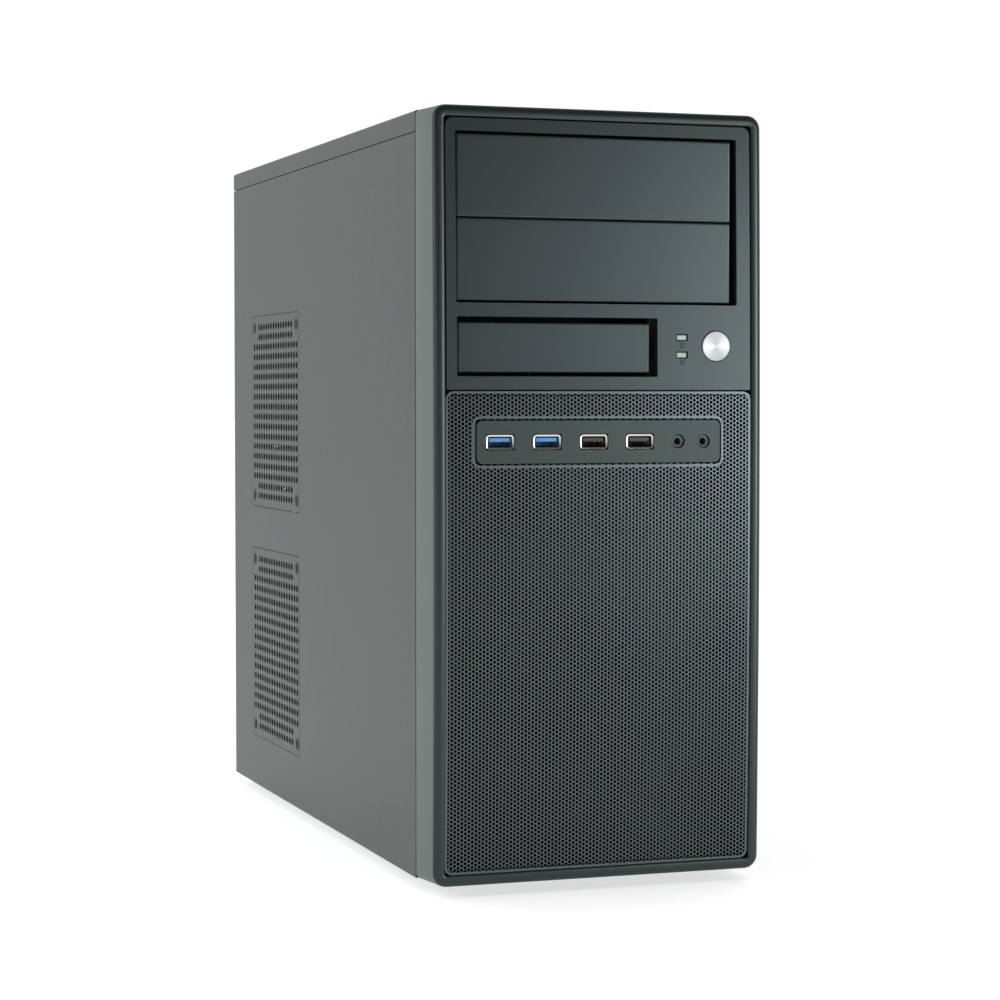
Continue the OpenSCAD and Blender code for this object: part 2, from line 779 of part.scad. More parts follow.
module power_inlet() {
    color("black")
    difference() {
        union() {
            box([plug_x - inlet_w / 2, plug_x + inlet_w / 2], [rear_in - 16, rear_in + 0.2],
                [inlet_z - inlet_h / 2, inlet_z + inlet_h / 2]);
            block([plug_x - 15.4, plug_x + 15.4], [rocker_z - rocker_h / 2 - inlet_flange, inlet_z + 12], 2,
                rear_in, rear_in + 2.2);
            box([plug_x - rocker_w / 2, plug_x + rocker_w / 2], [rear_in - 12, rear_in + 0.2],
                [rocker_z - rocker_h / 2, rocker_z + rocker_h / 2]);
        }
        block([plug_x - 12.2, plug_x + 12.2], [inlet_z - 8.4, inlet_z + 8.4], 2, rear_in - 13, rear_in + 3);
        box([plug_x - rocker_w / 2 + rocker_wall, plug_x + rocker_w / 2 - rocker_wall],
            [rear_in - 10.6, rear_in + 3], [rocker_z - rocker_h / 2 + 0.6, rocker_z + rocker_h / 2 - 0.6]);
        xrod(rear_in - rocker_pin_in, rocker_z, plug_x - rocker_w / 2 + 0.4, plug_x + rocker_w / 2 - 0.4,
            rocker_pin_r + rocker_gap);
    }
    for (p = [[-7, -2], [7, -2], [0, 2.4]])
        box([plug_x + p[0] - 1, plug_x + p[0] + 1], [rear_in - 14, rear_in - 1],
            [inlet_z + p[1] - 2, inlet_z + p[1] + 2]);
}

// rocker with its pivot pin, whose ends run in the housing's side walls
module rocker_switch() {
    half = rocker_w / 2 - rocker_wall - rocker_gap;
    color("black")
    union() {
        translate([plug_x - half, rear_in, rocker_z])
            rotate([90, 0, 90])
                linear_extrude(2 * half)
                    polygon([[1.6, -8.2], [2.4, 0], [4.4, 7.4], [-3.4, 7.4], [-6.4, 0], [-5, -8]]);
        xrod(rear_in - rocker_pin_in, rocker_z, plug_x - half - 1, plug_x + half + 1, rocker_pin_r);
    }
}

// ---- memory, cards and sockets of the board ----

module dimm_slots() {
    color("black")
    for (y = dimm_y)
        difference() {
            union() {
                box([board_x0 - dimm_h, board_x0], [y - dimm_w / 2, y + dimm_w / 2],
                    [dimm_z0, dimm_z0 + dimm_len]);
                // lugs at both ends that carry the latches
                for (s = [-1, 1])
                    box([board_x0 - dimm_h, board_x0], [y + s * (dimm_w / 2 - lug_t), y + s * dimm_w / 2],
                        [dimm_z0 - 2 * latch_pin_up, dimm_z0 + dimm_len + 2 * latch_pin_up]);
            }
            box([board_x0 - dimm_h - 1, board_x0 - 3], [y - 0.9, y + 0.9],
                [dimm_z0 + 3, dimm_z0 + dimm_len - 3]);
            for (z = [dimm_z0 - latch_pin_up, dimm_z0 + dimm_len + latch_pin_up])
                yrod(latch_pin_x, z, y - dimm_w, y + dimm_w, latch_pin_r + 0.3);
        }
}

module memory_modules() {
    z0 = dimm_z0 + (dimm_len - mod_len) / 2;
    color("darkgreen")
    for (y = dimm_y) {
        box([board_x0 - 3.5 - mod_h, board_x0 - 3.5], [y - 0.6, y + 0.6], [z0, z0 + mod_len]);
        for (k = [0:7])
            box([board_x0 - 26, board_x0 - 14], [y - 1.7, y - 0.6],
                [z0 + 6 + k * 15.6, z0 + 6 + k * 15.6 + 11]);
    }
}

// the latch at one end of every memory slot: up = 1 top, -1 bottom
module dimm_latch(up) {
    ze = up > 0 ? dimm_z0 + dimm_len : dimm_z0;
    half = dimm_w / 2 - lug_t - 0.2;
    color("gainsboro")
    for (y = dimm_y)
        union() {
            box([latch_x - 9, latch_pin_x], [y - half, y + half], [ze + up * 0.4, ze + up * 4.4]);
            box([latch_x - 12, latch_x - 8], [y - half, y + half], [ze + up * 0.4, ze + up * 7]);
            yrod(latch_pin_x, ze + up * latch_pin_up, y - half, y + half, 2);
            yrod(latch_pin_x, ze + up * latch_pin_up, y - half - lug_t, y + half + lug_t, latch_pin_r);
        }
}

module pcie_slots() {
    color("black")
    for (s = [[0, 89], [1, 25], [2, 25], [3, 85]])
        difference() {
            box([board_x0 - 11, board_x0], [board_y1 - 45 - s[1], board_y1 - 45],
                [slot_z1 - s[0] * slot_pitch - 3.7, slot_z1 - s[0] * slot_pitch + 3.7]);
            box([board_x0 - 12, board_x0 - 3], [board_y1 - 43.5 - s[1], board_y1 - 46.5],
                [slot_z1 - s[0] * slot_pitch - 0.9, slot_z1 - s[0] * slot_pitch + 0.9]);
        }
}

module chipset_heatsink() {
    y0 = board_y0 + 38;
    z0 = board_z0 + 34;
    color("dimgray")
    union() {
        box([board_x0 - 6, board_x0], [y0, y0 + 40], [z0, z0 + 40]);
        for (i = [0:8])
            box([board_x0 - 20, board_x0 - 5], [y0, y0 + 40], [z0 + i * 4.8, z0 + i * 4.8 + 1.6]);
    }
}

module board_sockets() {
    color("black") {
        // main power socket
        difference() {
            box([board_x0 - 12, board_x0], [board_y0 + 3, board_y0 + 13],
                [atx_z - atx_len / 2, atx_z + atx_len / 2]);
            box([board_x0 - 13, board_x0 - 4], [board_y0 + 4.2, board_y0 + 11.8],
                [atx_z - atx_len / 2 + 1.2, atx_z + atx_len / 2 - 1.2]);
        }
        // disk socket, facing the front of the case
        difference() {
            box([board_x0 - 7, board_x0], [board_y0 + 1, board_y0 + 13], [sata_z - 8, sata_z + 8]);
            box([board_x0 - 5.6, board_x0 - 1.4], [board_y0 - 1, board_y0 + 11],
                [sata_z - 6.6, sata_z + 6.6]);
        }
        // front port header
        box([board_x0 - 3, board_x0], [board_y0 + 6, board_y0 + 12], [hdr_z - 13, hdr_z + 13]);
    }
}

// ---- hard drive ----

module hdd_case() {
    color("silver")
    difference() {
        box([hdd_x0, hdd_x0 + hdd_w], [hdd_y0, hdd_y0 + hdd_l], [hdd_z0 + 2, hdd_z0 + hdd_h - 1.2]);
        // disk chamber, closed by the lid
        zrod(hdd_x0 + hdd_w / 2, hdd_y0 + 50, hdd_z0 + 8, hdd_z0 + hdd_h, 46);
        box([hdd_x0 + 12, hdd_x0 + hdd_w - 12], [hdd_y0 + 80, hdd_y0 + hdd_l - 8],
            [hdd_z0 + 8, hdd_z0 + hdd_h]);
        for (y = drive_hole_y)
            xrod(y, hdd_z0 + 6.4, hdd_x0 - 1, hdd_x0 + 4, hole_r);
        for (y = drive_hole_y)
            xrod(y, hdd_z0 + 6.4, hdd_x0 + hdd_w - 4, hdd_x0 + hdd_w + 1, hole_r);
    }
}

module hdd_lid() {
    color("gainsboro")
    box([hdd_x0 + 1.5, hdd_x0 + hdd_w - 1.5], [hdd_y0 + 1.5, hdd_y0 + hdd_l - 1.5],
        [hdd_z0 + hdd_h - 1.2, hdd_z0 + hdd_h]);
}

module hdd_board() {
    color("darkgreen")
    union() {
        box([hdd_x0 + 4, hdd_x0 + hdd_w - 4], [hdd_y0 + 50, hdd_y0 + hdd_l - 2],
            [hdd_z0 + 0.8, hdd_z0 + 2]);
        box([hdd_x0 + 48, hdd_x0 + 92], [hdd_y0 + hdd_l, hdd_y0 + hdd_l + 4], [hdd_z0 + 0.8, hdd_z0 + 6]);
        box([hdd_x0 + 48, hdd_x0 + 92], [hdd_y0 + hdd_l - 3, hdd_y0 + hdd_l + 1],
            [hdd_z0 + 0.8, hdd_z0 + 2]);
    }
}

// ---- front ports, on the chassis ----

module front_io_board() {
    color("darkgreen")
    difference() {
        union() {
            box([-66, 66], [iob_y, iob_y + iob_t], [port_z - 9, port_z + 8]);
            for (x = iob_feet_x) {
                box([x - 4, x + 4], [iob_y + iob_t, front_y], [port_z - 4, port_z - 3]);
                box([x - 4, x + 4], [front_y - 1, front_y], [port_z - 4, port_z + 5]);
            }
        }
        for (x = iob_feet_x)
            yrod(x, port_z + 1, iob_y - 1, front_y + 1, hole_r);
    }
}

module usb_shells() {
    color("lightgray")
    for (i = [0:3])
        difference() {
            union() {
                box([usb_x(i) - usb_w / 2, usb_x(i) + usb_w / 2], [iob_y - usb_len, iob_y],
                    [port_z - usb_h / 2, port_z + usb_h / 2]);
                box([usb_x(i) - usb_w / 2 - 0.7, usb_x(i) + usb_w / 2 + 0.7],
                    [iob_y - usb_len, iob_y - usb_len + 0.4], [port_z - usb_h / 2 - 0.8,
                        port_z + usb_h / 2 + 0.8]);
            }
            box([usb_x(i) - usb_w / 2 + 0.4, usb_x(i) + usb_w / 2 - 0.4], [iob_y - usb_len - 1, iob_y - 1],
                [port_z - usb_h / 2 + 0.4, port_z + usb_h / 2 - 0.4]);
        }
}

module usb_tongue(i) {
    box([usb_x(i) - 5.5, usb_x(i) + 5.5], [iob_y - usb_len + 1.2, iob_y - 1], [port_z + 0.2, port_z + 2.1]);
    box([usb_x(i) - usb_w / 2 + 0.5, usb_x(i) + usb_w / 2 - 0.5], [iob_y - 5, iob_y - 1],
        [port_z - 2.3, port_z + 2.3]);
}

module usb_tongues_blue() {
    color("blue")
    for (i = [0, 1])
        usb_tongue(i);
}

module usb_tongues_black() {
    color("black")
    for (i = [2, 3])
        usb_tongue(i);
}

module audio_jacks() {
    color("darkgray")
    for (x = jack_x)
        difference() {
            union() {
                yrod(x, port_z, port_front, iob_y - 4, jack_r);
                box([x - 4.5, x + 4.5], [iob_y - 10, iob_y], [port_z - 4.5, port_z + 4.5]);
            }
            yrod(x, port_z, port_front - 1, port_front + jack_len, jack_bore / 2);
        }
}

module power_switch() {
    color("black")
    union() {
        box([btn_x - 6.5, btn_x + 6.5], [switch_y, front_y - 1], [btn_z - 6.5, btn_z + 6.5]);
        box([btn_x - 6.5, btn_x + 6.5], [front_y - 2, front_y], [btn_z - 14, btn_z + 14]);
        yrod(btn_x, btn_z, switch_y - plunger, switch_y, 2.5);
    }
}

// ---- cables, clipped along their whole way ----

function unit(v) = v / norm(v);

// a point on the smooth curve through p, the share t of the way from point i to the next
function curve_point(p, i, t) =
    let (a = p[max(i - 1, 0)], b = p[i], c = p[i + 1], d = p[min(i + 2, len(p) - 1)])
    b + 0.5 * t * ((c - a) + t * ((2 * a - 5 * b + 4 * c - d) + t * (3 * b - 3 * c + d - a)));

function curve(p, steps) =
    [for (i = [0:len(p) - 2], k = [0:steps - 1]) curve_point(p, i, k / steps), p[len(p) - 1]];

// a round cord swept along the curve through pts; side is a direction that the cord never takes
module cord_path(pts, r, side) {
    way = curve(pts, 4);
    n = len(way);
    sides = 10;
    rings = [for (i = [0:n - 1])
        let (ahead = unit(way[min(i + 1, n - 1)] - way[max(i - 1, 0)]),
            u = unit(cross(ahead, side)),
            v = cross(ahead, u))
        for (k = [0:sides - 1])
            way[i] + r * (cos(k * 360 / sides) * u + sin(k * 360 / sides) * v)];
    polyhedron(rings, concat(
        [[for (k = [0:sides - 1]) k]],
        [[for (k = [0:sides - 1]) n * sides - 1 - k]],
        [for (i = [0:n - 2], k = [0:sides - 1])
            [i * sides + k, (i + 1) * sides + k,
                (i + 1) * sides + (k + 1) % sides, i * sides + (k + 1) % sides]]));
}

// the supply's cable bundle down to the board's main socket, with a branch to the hard drive
module power_cables() {
    y_run = board_y0 + 8;
    z_run = psu_z0 + 18;
    plug_y = hdd_y0 + hdd_l + 4;
    color("black")
    union() {
        cord_path([[cable_x, psu_y0 + 6, z_run],
            [cable_x, psu_y0 - 14, z_run],
            [cable_x - 4, y_run + 26, z_run - 22],
            [cable_x - 12, y_run + 4, z_run - 46],
            [cable_x - 14, y_run, atx_z + 12],
            [atx_plug_x - 14, y_run, atx_z]], cable_r, [1, 0.1, 0.1]);
        box([atx_plug_x - 16, atx_plug_x - 0.3], [board_y0 + 3.4, board_y0 + 12.6],
            [atx_z - atx_len / 2 + 0.6, atx_z + atx_len / 2 - 0.6]);
        cord_path([[cable_x - 5, y_run + 24, z_run - 24],
            [cable_x - 30, y_run + 12, z_run - 44],
            [hdd_x0 + 66, plug_y + 20, hdd_z0 + 44],
            [hdd_x0 + 60, plug_y + 18, hdd_z0 + 16],
            [hdd_x0 + 60, plug_y + 10, hdd_z0 + 4]], 2.6, [0.3, 1, 0.1]);
        box([hdd_x0 + 49, hdd_x0 + 71], [plug_y, plug_y + 14], [hdd_z0 + 1.2, hdd_z0 + 7]);
    }
}

module sata_cable() {
    plug_y = hdd_y0 + hdd_l + 4;
    color("firebrick")
    union() {
        box([hdd_x0 + 75, hdd_x0 + 90], [plug_y, plug_y + 12], [hdd_z0 + 1.2, hdd_z0 + 7]);
        cord_path([[hdd_x0 + 82, plug_y + 8, hdd_z0 + 4],
            [hdd_x0 + 84, plug_y + 22, hdd_z0],
            [board_x0 - 24, board_y0 + 2, sata_z + 34],
            [board_x0 - 10, board_y0 - 16, sata_z + 8],
            [board_x0 - 3.5, board_y0 - 10, sata_z]], 2.2, [0.1, 1, 0.1]);
        box([board_x0 - 5.4, board_x0 - 1.6], [board_y0 - 12, board_y0 + 9], [sata_z - 6.4, sata_z + 6.4]);
    }
}

module front_cables() {
    color("black")
    union() {
        cord_path([[47, iob_y + iob_t, port_z - 2],
            [47, front_y + 12, port_z - 2],
            [47, front_y + 34, port_z - 30],
            [48, board_y0 - 36, hdr_z + 36],
            [board_x0 - 10, board_y0 - 8, hdr_z + 4],
            [board_x0 - 8, board_y0 + 9, hdr_z]], 3, [1, 0.1, 0.1]);
        box([board_x0 - 12, board_x0 - 3], [board_y0 + 6.4, board_y0 + 11.6], [hdr_z - 12, hdr_z + 12]);
    }
}

// ---- front ----

module bezel_frame() {
    color("dimgray")
    difference() {
        intersection() {
            block([-hw, hw], [0, body_h], corner_r, -front_out, bezel_d);
            behind_bow(0, bezel_d);
        }
        block([-in_x, in_x], [in_z0, in_z1], in_r, -front_out - 1, bezel_d + 1);
        block([-hw + bezel_t, hw - bezel_t], [bezel_t, body_h - bezel_t], corner_r - bezel_t, rim_back,
            bezel_d + 1);
    }
    color("dimgray")
    for (s = [-1, 1], z = snap_z) {
        box([s * (hw - bezel_t + 0.5), s * (hw - 10)], [12, 15], [z - 5, z + 5]);
        box([s * (hw - 7), s * (hw - 10)], [12, front_y + 6], [z - 5, z + 5]);
        box([s * (hw - 6.2), s * (hw - 8)], [front_y + sheet_t + 0.6, front_y + 4.5], [z - 5, z + 5]);
    }
}

module openings_of_face() {
    box([bay_x - cover_w / 2 - cover_gap, bay_x + cover_w / 2 + cover_gap + 1.4], [-front_out - 1, bezel_d],
        [bay_z0 - cover_gap, bay_z1 + cover_gap]);
    box([small_x - small_w / 2 - cover_gap - 0.6, small_open_x1], [-front_out - 1, bezel_d],
        [small_z0 - 2, small_z1 + 2.6]);
    yrod(btn_x, btn_z, -front_out - 1, bezel_d, button_d / 2 + 0.5);
    for (z = led_z)
        box([led_x - led_w / 2 - clr, led_x + led_w / 2 + clr], [-front_out - 1, bezel_d],
            [z - led_h / 2 - clr, z + led_h / 2 + clr]);
}

module bezel_face() {
    color("dimgray")
    difference() {
        union() {
            intersection() {
                bowed_sheet(face_back, skin_t);
                block([-in_x + clr, in_x - clr], [seam_z + 0.4, in_z1 - clr], in_r - clr, -front_out,
                    bezel_d);
            }
            // walls of the drive openings, and the ledges that hold the face to the frame
            block([bay_x - cover_w / 2 - cover_gap - 1.6, bay_x + cover_w / 2 + cover_gap + 3],
                [bay_z0 - cover_gap - 1.6, bay_z1 + cover_gap + 1.6], 1, -0.6, 12);
            block([small_x - small_w / 2 - cover_gap - 2.2, small_open_x1 + 1.6],
                [small_z0 - 3.6, small_z1 + 4.2], 1, -0.6, 12);
            yrod(btn_x, btn_z, -0.6, 10, button_d / 2 + 2);
            for (s = [-1, 1]) {
                box([s * (in_x - 2), s * (in_x - clr)], [-2.2, rim_back + 2], [seam_z + 6, in_z1 - 6]);
                box([s * (in_x - 2), s * (in_x + 1.5)], [rim_back, rim_back + 2], [seam_z + 6, in_z1 - 6]);
            }
        }
        openings_of_face();
        for (s = [-1, 1], z = snap_z)
            box([s * (hw - 5), s * (hw - 12)], [11, 16], [z - 6, z + 6]);
    }
}

module mesh_grille() {
    color("dimgray")
    for (s = [-1, 1], z = [40, 120, 190]) {
        box([s * (in_x - 1.3), s * (in_x - clr)], [-3, rim_back + 1], [z - 6, z + 6]);
        box([s * (in_x - 1.3), s * (in_x + 1.5)], [rim_back, rim_back + 1], [z - 6, z + 6]);
    }
    color("dimgray")
    difference() {
        intersection() {
            bowed_sheet(mesh_back, mesh_t);
            block([-in_x + clr, in_x - clr], [in_z0 + clr, seam_z - 0.4], in_r - clr, -front_out, bezel_d);
        }
        block([port_x - port_w / 2 - clr, port_x + port_w / 2 + clr],
            [port_z - port_h / 2 - clr, port_z + port_h / 2 + clr], 3, -front_out - 1, bezel_d);
    }
}

module port_panel() {
    color("gray")
    difference() {
        union() {
            block([port_x - port_w / 2, port_x + port_w / 2], [port_z - port_h / 2, port_z + port_h / 2], 3,
                port_front - 1, rim_back + 1.6);
            for (s = [-1, 1])
                box([s * (in_x + 1.5), port_x + s * (port_w / 2 - 1)], [rim_back, rim_back + 1.6],
                    [port_z - 7, port_z + 7]);
        }
        block([port_x - port_w / 2 + 1.8, port_x + port_w / 2 - 1.8],
            [port_z - port_h / 2 + 1.8, port_z + port_h / 2 - 1.8], 1.4, port_front + 1, rim_back + 2);
        for (i = [0:3])
            box([usb_x(i) - usb_w / 2 - 1, usb_x(i) + usb_w / 2 + 1], [port_front - 2, port_front + 6],
                [port_z - usb_h / 2 - 1.1, port_z + usb_h / 2 + 1.1]);
        for (x = jack_x)
            yrod(x, port_z, port_front - 2, port_front + 6, jack_r + clr);
    }
}

module led_lenses() {
    color("white")
    for (z = led_z) {
        // the flange seats behind the bowed face
        top = z + led_h / 2 + led_rim;
        seat = bow(top) + face_back + skin_t + led_seat;
        union() {
            box([led_x - led_w / 2, led_x + led_w / 2], [1.4 - front_out, 8],
                [z - led_h / 2, z + led_h / 2]);
            box([led_x - led_w / 2 - led_rim, led_x + led_w / 2 + led_rim], [seat, seat + led_flange],
                [z - led_h / 2 - led_rim, top]);
        }
    }
}

// a blank cover: front plate, folded edges and two spring hooks
module bay_cover(xc, w, z0, h, y0) {
    difference() {
        box([xc - w / 2, xc + w / 2], [y0, y0 + cover_depth - 4], [z0, z0 + h]);
        box([xc - w / 2 + 2, xc + w / 2 - 2], [y0 + 2, y0 + cover_depth], [z0 + 2, z0 + h - 2]);
    }
    for (s = [-1, 1])
        box([xc + s * (w / 2), xc + s * (w / 2 - 1.6)], [y0 + cover_depth - 5, front_y - 2],
            [z0 + h / 2 - 5, z0 + h / 2 + 5]);
}

module bay_cover_top() {
    color("dimgray")
    bay_cover(bay_x, cover_w, bay_z1 - cover_h, cover_h, 0);
}

module bay_cover_middle() {
    color("dimgray")
    bay_cover(bay_x, cover_w, bay_z0, cover_h, 0);
}

module bay_cover_small() {
    color("dimgray")
    bay_cover(small_x, small_w, small_z0, small_h, 0.6);
}

module power_button() {
    color("silver")
    union() {
        yrod(btn_x, btn_z, 0.6 - front_out, 4, button_d / 2);
        yrod(btn_x, btn_z, 0, switch_y - plunger - button_travel - 0.2, 4);
    }
}

// ---- side panels: s = -1 left, 1 right ----

module side_panel(s) {
    module shell() {
        box([s * hw, s * (hw - sheet_t)], [shell_y, body_d], [0, panel_top]);
        // folded edges: top, bottom, rear flange and front hem
        box([s * hw, s * (hw - fold)], [shell_y, body_d - 2], [panel_top - sheet_t, panel_top]);
        box([s * hw, s * (hw - fold)], [shell_y, body_d - 2], [0, sheet_t]);
        box([s * hw, s * (hw - panel_flange)], [body_d - sheet_t, body_d], [4, panel_top - 4]);
        box([s * hw, s * (hw - 2 * sheet_t)], [shell_y, shell_y + 6], [0, panel_top]);
    }
    difference() {
        shell();
        for (z = thumb_z)
            yrod(s * thumb_x, z, body_d - 2, body_d + 1, 2.3);
        if (s < 0)
            for (zb = vent_z)
                for (row = [0:vent_rows - 1]) {
                    cut = row < 2 || row > vent_rows - 3 ? vent_cut : 0;
                    mid = vent_y0 + vent_len / 2;
                    z = [zb + row * vent_pitch - vent_h / 2, zb + row * vent_pitch + vent_h / 2];
                    box([-hw - 1, -hw + 2], [vent_y0 + cut, mid - vent_web], z);
                    box([-hw - 1, -hw + 2], [mid + vent_web, vent_y0 + vent_len - cut], z);
                }
    }
}

module left_panel() {
    color("dimgray")
    side_panel(-1);
}

module right_panel() {
    color("dimgray")
    side_panel(1);
}

module thumb_screw(s, z) {
    color("black")
    union() {
        yrod(s * thumb_x, z, body_d, body_d + head_out, thumb_r);
        yrod(s * thumb_x, z, body_d - thumb_shaft, body_d + 1, 1.75);
    }
}

module thumb_screw_left_top() {
    thumb_screw(-1, thumb_z[0]);
}

module thumb_screw_left_low() {
    thumb_screw(-1, thumb_z[1]);
}

module thumb_screw_right_top() {
    thumb_screw(1, thumb_z[0]);
}

module thumb_screw_right_low() {
    thumb_screw(1, thumb_z[1]);
}

module dimm_latches_top() {
    dimm_latch(1);
}

module dimm_latches_low() {
    dimm_latch(-1);
}

// ---- one line for each piece ----

place() base_plate();
place() front_plate();
place() rear_panel();
place() board_tray();
place() top_cover();
place() bay_cage();
place() drive_cage();
place() feet();
place() io_shield();
place() slot_covers();
place() case_screws();
place() standoffs();
place() motherboard();
place() cpu_socket();
place() heatsink();
place() cooler_frame();
place() dimm_slots();
place() memory_modules();
place() pcie_slots();
place() chipset_heatsink();
place() rear_ports();
place() board_sockets();
place() psu_case();
place() psu_fan_frame();
place() psu_guard();
place() power_inlet();
place() rear_fan_frame();
place() hdd_case();
place() hdd_lid();
place() hdd_board();
place() front_io_board();
place() usb_shells();
place() usb_tongues_blue();
place() usb_tongues_black();
place() audio_jacks();
place() power_switch();
place() power_cables();
place() sata_cable();
place() front_cables();
place() bezel_frame();
place() bezel_face();
place() mesh_grille();
place() port_panel();
place() led_lenses();
place() bay_cover_top();
place() bay_cover_middle();
place() bay_cover_small();
place() power_button();
place() left_panel();
place() right_panel();
place() thumb_screw_left_top();
place() thumb_screw_left_low();
place() thumb_screw_right_top();
place() thumb_screw_right_low();
place() rear_fan_rotor();
place() psu_fan_rotor();
place() cpu_fan_rotor();
place() rocker_switch();
place() dimm_latches_top();
place() dimm_latches_low();
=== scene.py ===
import json
import math

import bmesh
import bpy
from bpy.props import FloatProperty, FloatVectorProperty, IntProperty, PointerProperty
from bpy.types import Operator, Panel, PropertyGroup
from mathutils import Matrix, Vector


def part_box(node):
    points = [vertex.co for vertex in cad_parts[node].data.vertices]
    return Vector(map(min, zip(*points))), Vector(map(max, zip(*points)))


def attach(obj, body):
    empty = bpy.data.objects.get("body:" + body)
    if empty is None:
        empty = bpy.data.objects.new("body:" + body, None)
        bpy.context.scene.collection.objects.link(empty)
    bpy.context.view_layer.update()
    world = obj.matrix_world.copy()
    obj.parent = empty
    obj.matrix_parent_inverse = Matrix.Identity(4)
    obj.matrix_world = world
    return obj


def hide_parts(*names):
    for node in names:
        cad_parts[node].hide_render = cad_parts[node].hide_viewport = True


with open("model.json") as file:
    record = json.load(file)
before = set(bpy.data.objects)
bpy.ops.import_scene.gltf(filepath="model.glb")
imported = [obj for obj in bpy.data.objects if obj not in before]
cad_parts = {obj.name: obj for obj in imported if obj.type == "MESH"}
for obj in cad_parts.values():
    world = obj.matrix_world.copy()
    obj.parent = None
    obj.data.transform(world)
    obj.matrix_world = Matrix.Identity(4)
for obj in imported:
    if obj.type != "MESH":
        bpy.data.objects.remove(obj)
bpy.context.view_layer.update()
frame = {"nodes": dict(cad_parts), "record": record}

bl_info = {
    "name": "Desktop Computer Tower",
    "version": (1, 0, 0),
    "blender": (4, 5, 0),
    "location": "View3D > Sidebar > Tower",
    "description": "Builds the visible surfaces of a desktop computer tower around its solid model",
    "category": "Object",
}

MM = 0.001
MM_PER_METRE = 1000

# ---- places taken from the solid model ----

case_lo, case_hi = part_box("bezel_frame")
HALF_W = case_hi.x
FRONT = case_lo.y
BASE = case_lo.z
TOP = case_hi.z
MID_Z = (BASE + TOP) / 2
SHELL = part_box("left_panel")[0].y
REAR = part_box("left_panel")[1].y
BEZEL_BACK = SHELL - 0.9 * MM
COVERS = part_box("bay_cover_top")[0].y
TAB = 1.5 * MM
RIM = HALF_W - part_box("mesh_grille")[1].x + TAB
PORT_HALF = 65.8 * MM
PORT_MID = -0.7 * MM


# ---- small tools ----

def linear(hex_colour):
    """Turns an sRGB hex colour into linear RGBA."""
    value = [int(hex_colour[i:i + 2], 16) / 255 for i in (1, 3, 5)]
    return tuple(c / 12.92 if c < 0.04045 else ((c + 0.055) / 1.055) ** 2.4 for c in value) + (1.0,)


def add(tree, kind, inputs=None, **settings):
    """Adds a node. An input takes a plain value, a socket, or a node that lends its first output."""
    made = tree.nodes.new(kind)
    for key, value in settings.items():
        setattr(made, key, value)
    for key, value in (inputs or {}).items():
        if isinstance(value, bpy.types.Node):
            value = value.outputs[0]
        if isinstance(value, bpy.types.NodeSocket):
            tree.links.new(value, made.inputs[key])
        else:
            made.inputs[key].default_value = value
    return made


def shade(piece, angle=35):
    """Smooth shading with sharp edges kept."""
    piece.data.shade_smooth()
    piece.data.set_sharp_from_angle(angle=math.radians(angle))


def finish_piece(piece, body, surface, nodes=(), angle=35):
    """Gives a piece its surface, body and the solids it stands for."""
    piece.data.materials.clear()
    piece.data.materials.append(bpy.data.materials[surface])
    shade(piece, angle)
    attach(piece, body)
    if nodes:
        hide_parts(*nodes)
    return piece


def object_from(name, bm, doubles=0.00001):
    """A new object from a bmesh, with its faces turned outwards."""
    if doubles:
        bmesh.ops.remove_doubles(bm, verts=bm.verts, dist=doubles)
    bmesh.ops.recalc_face_normals(bm, faces=bm.faces)
    mesh = bpy.data.meshes.new(name)
    bm.to_mesh(mesh)
    bm.free()
    piece = bpy.data.objects.new(name, mesh)
    bpy.context.scene.collection.objects.link(piece)
    return piece


def bevel(piece, width, segments=2, angle=40):
    """A live bevel on the sharp edges."""
    made = piece.modifiers.new("Edge", "BEVEL")
    made.width = width
    made.segments = segments
    made.limit_method = "ANGLE"
    made.angle_limit = math.radians(angle)
    even = piece.modifiers.new("Even", "WEIGHTED_NORMAL")
    even.keep_sharp = True
    even.weight = 100
    return piece


def bow(z, sag):
    """How far the bowed front lies behind its foremost line at height z."""
    return sag * ((z - MID_Z) / ((TOP - BASE) / 2)) ** 2


def ring_points(x, z, radius, corner=6, side=1, tall=1):
    """Points round a rounded rectangle, the same count for every radius."""
    points = []
    r = max(radius, 0.00002)
    centres = [(x[1] - r, z[1] - r, 0), (x[0] + r, z[1] - r, 90), (x[0] + r, z[0] + r, 180), (x[1] - r, z[0] + r, 270)]
    for k, (cx, cz, start) in enumerate(centres):
        arc = [(cx + r * math.cos(math.radians(start + 90 * i / corner)),
                cz + r * math.sin(math.radians(start + 90 * i / corner))) for i in range(corner + 1)]
        points += arc
        nx, nz, nstart = centres[(k + 1) % 4]
        after = (nx + r * math.cos(math.radians(nstart)), nz + r * math.sin(math.radians(nstart)))
        steps = side if k in (0, 2) else tall
        points += [(arc[-1][0] + (after[0] - arc[-1][0]) * i / steps,
                    arc[-1][1] + (after[1] - arc[-1][1]) * i / steps) for i in range(1, steps)]
    return points


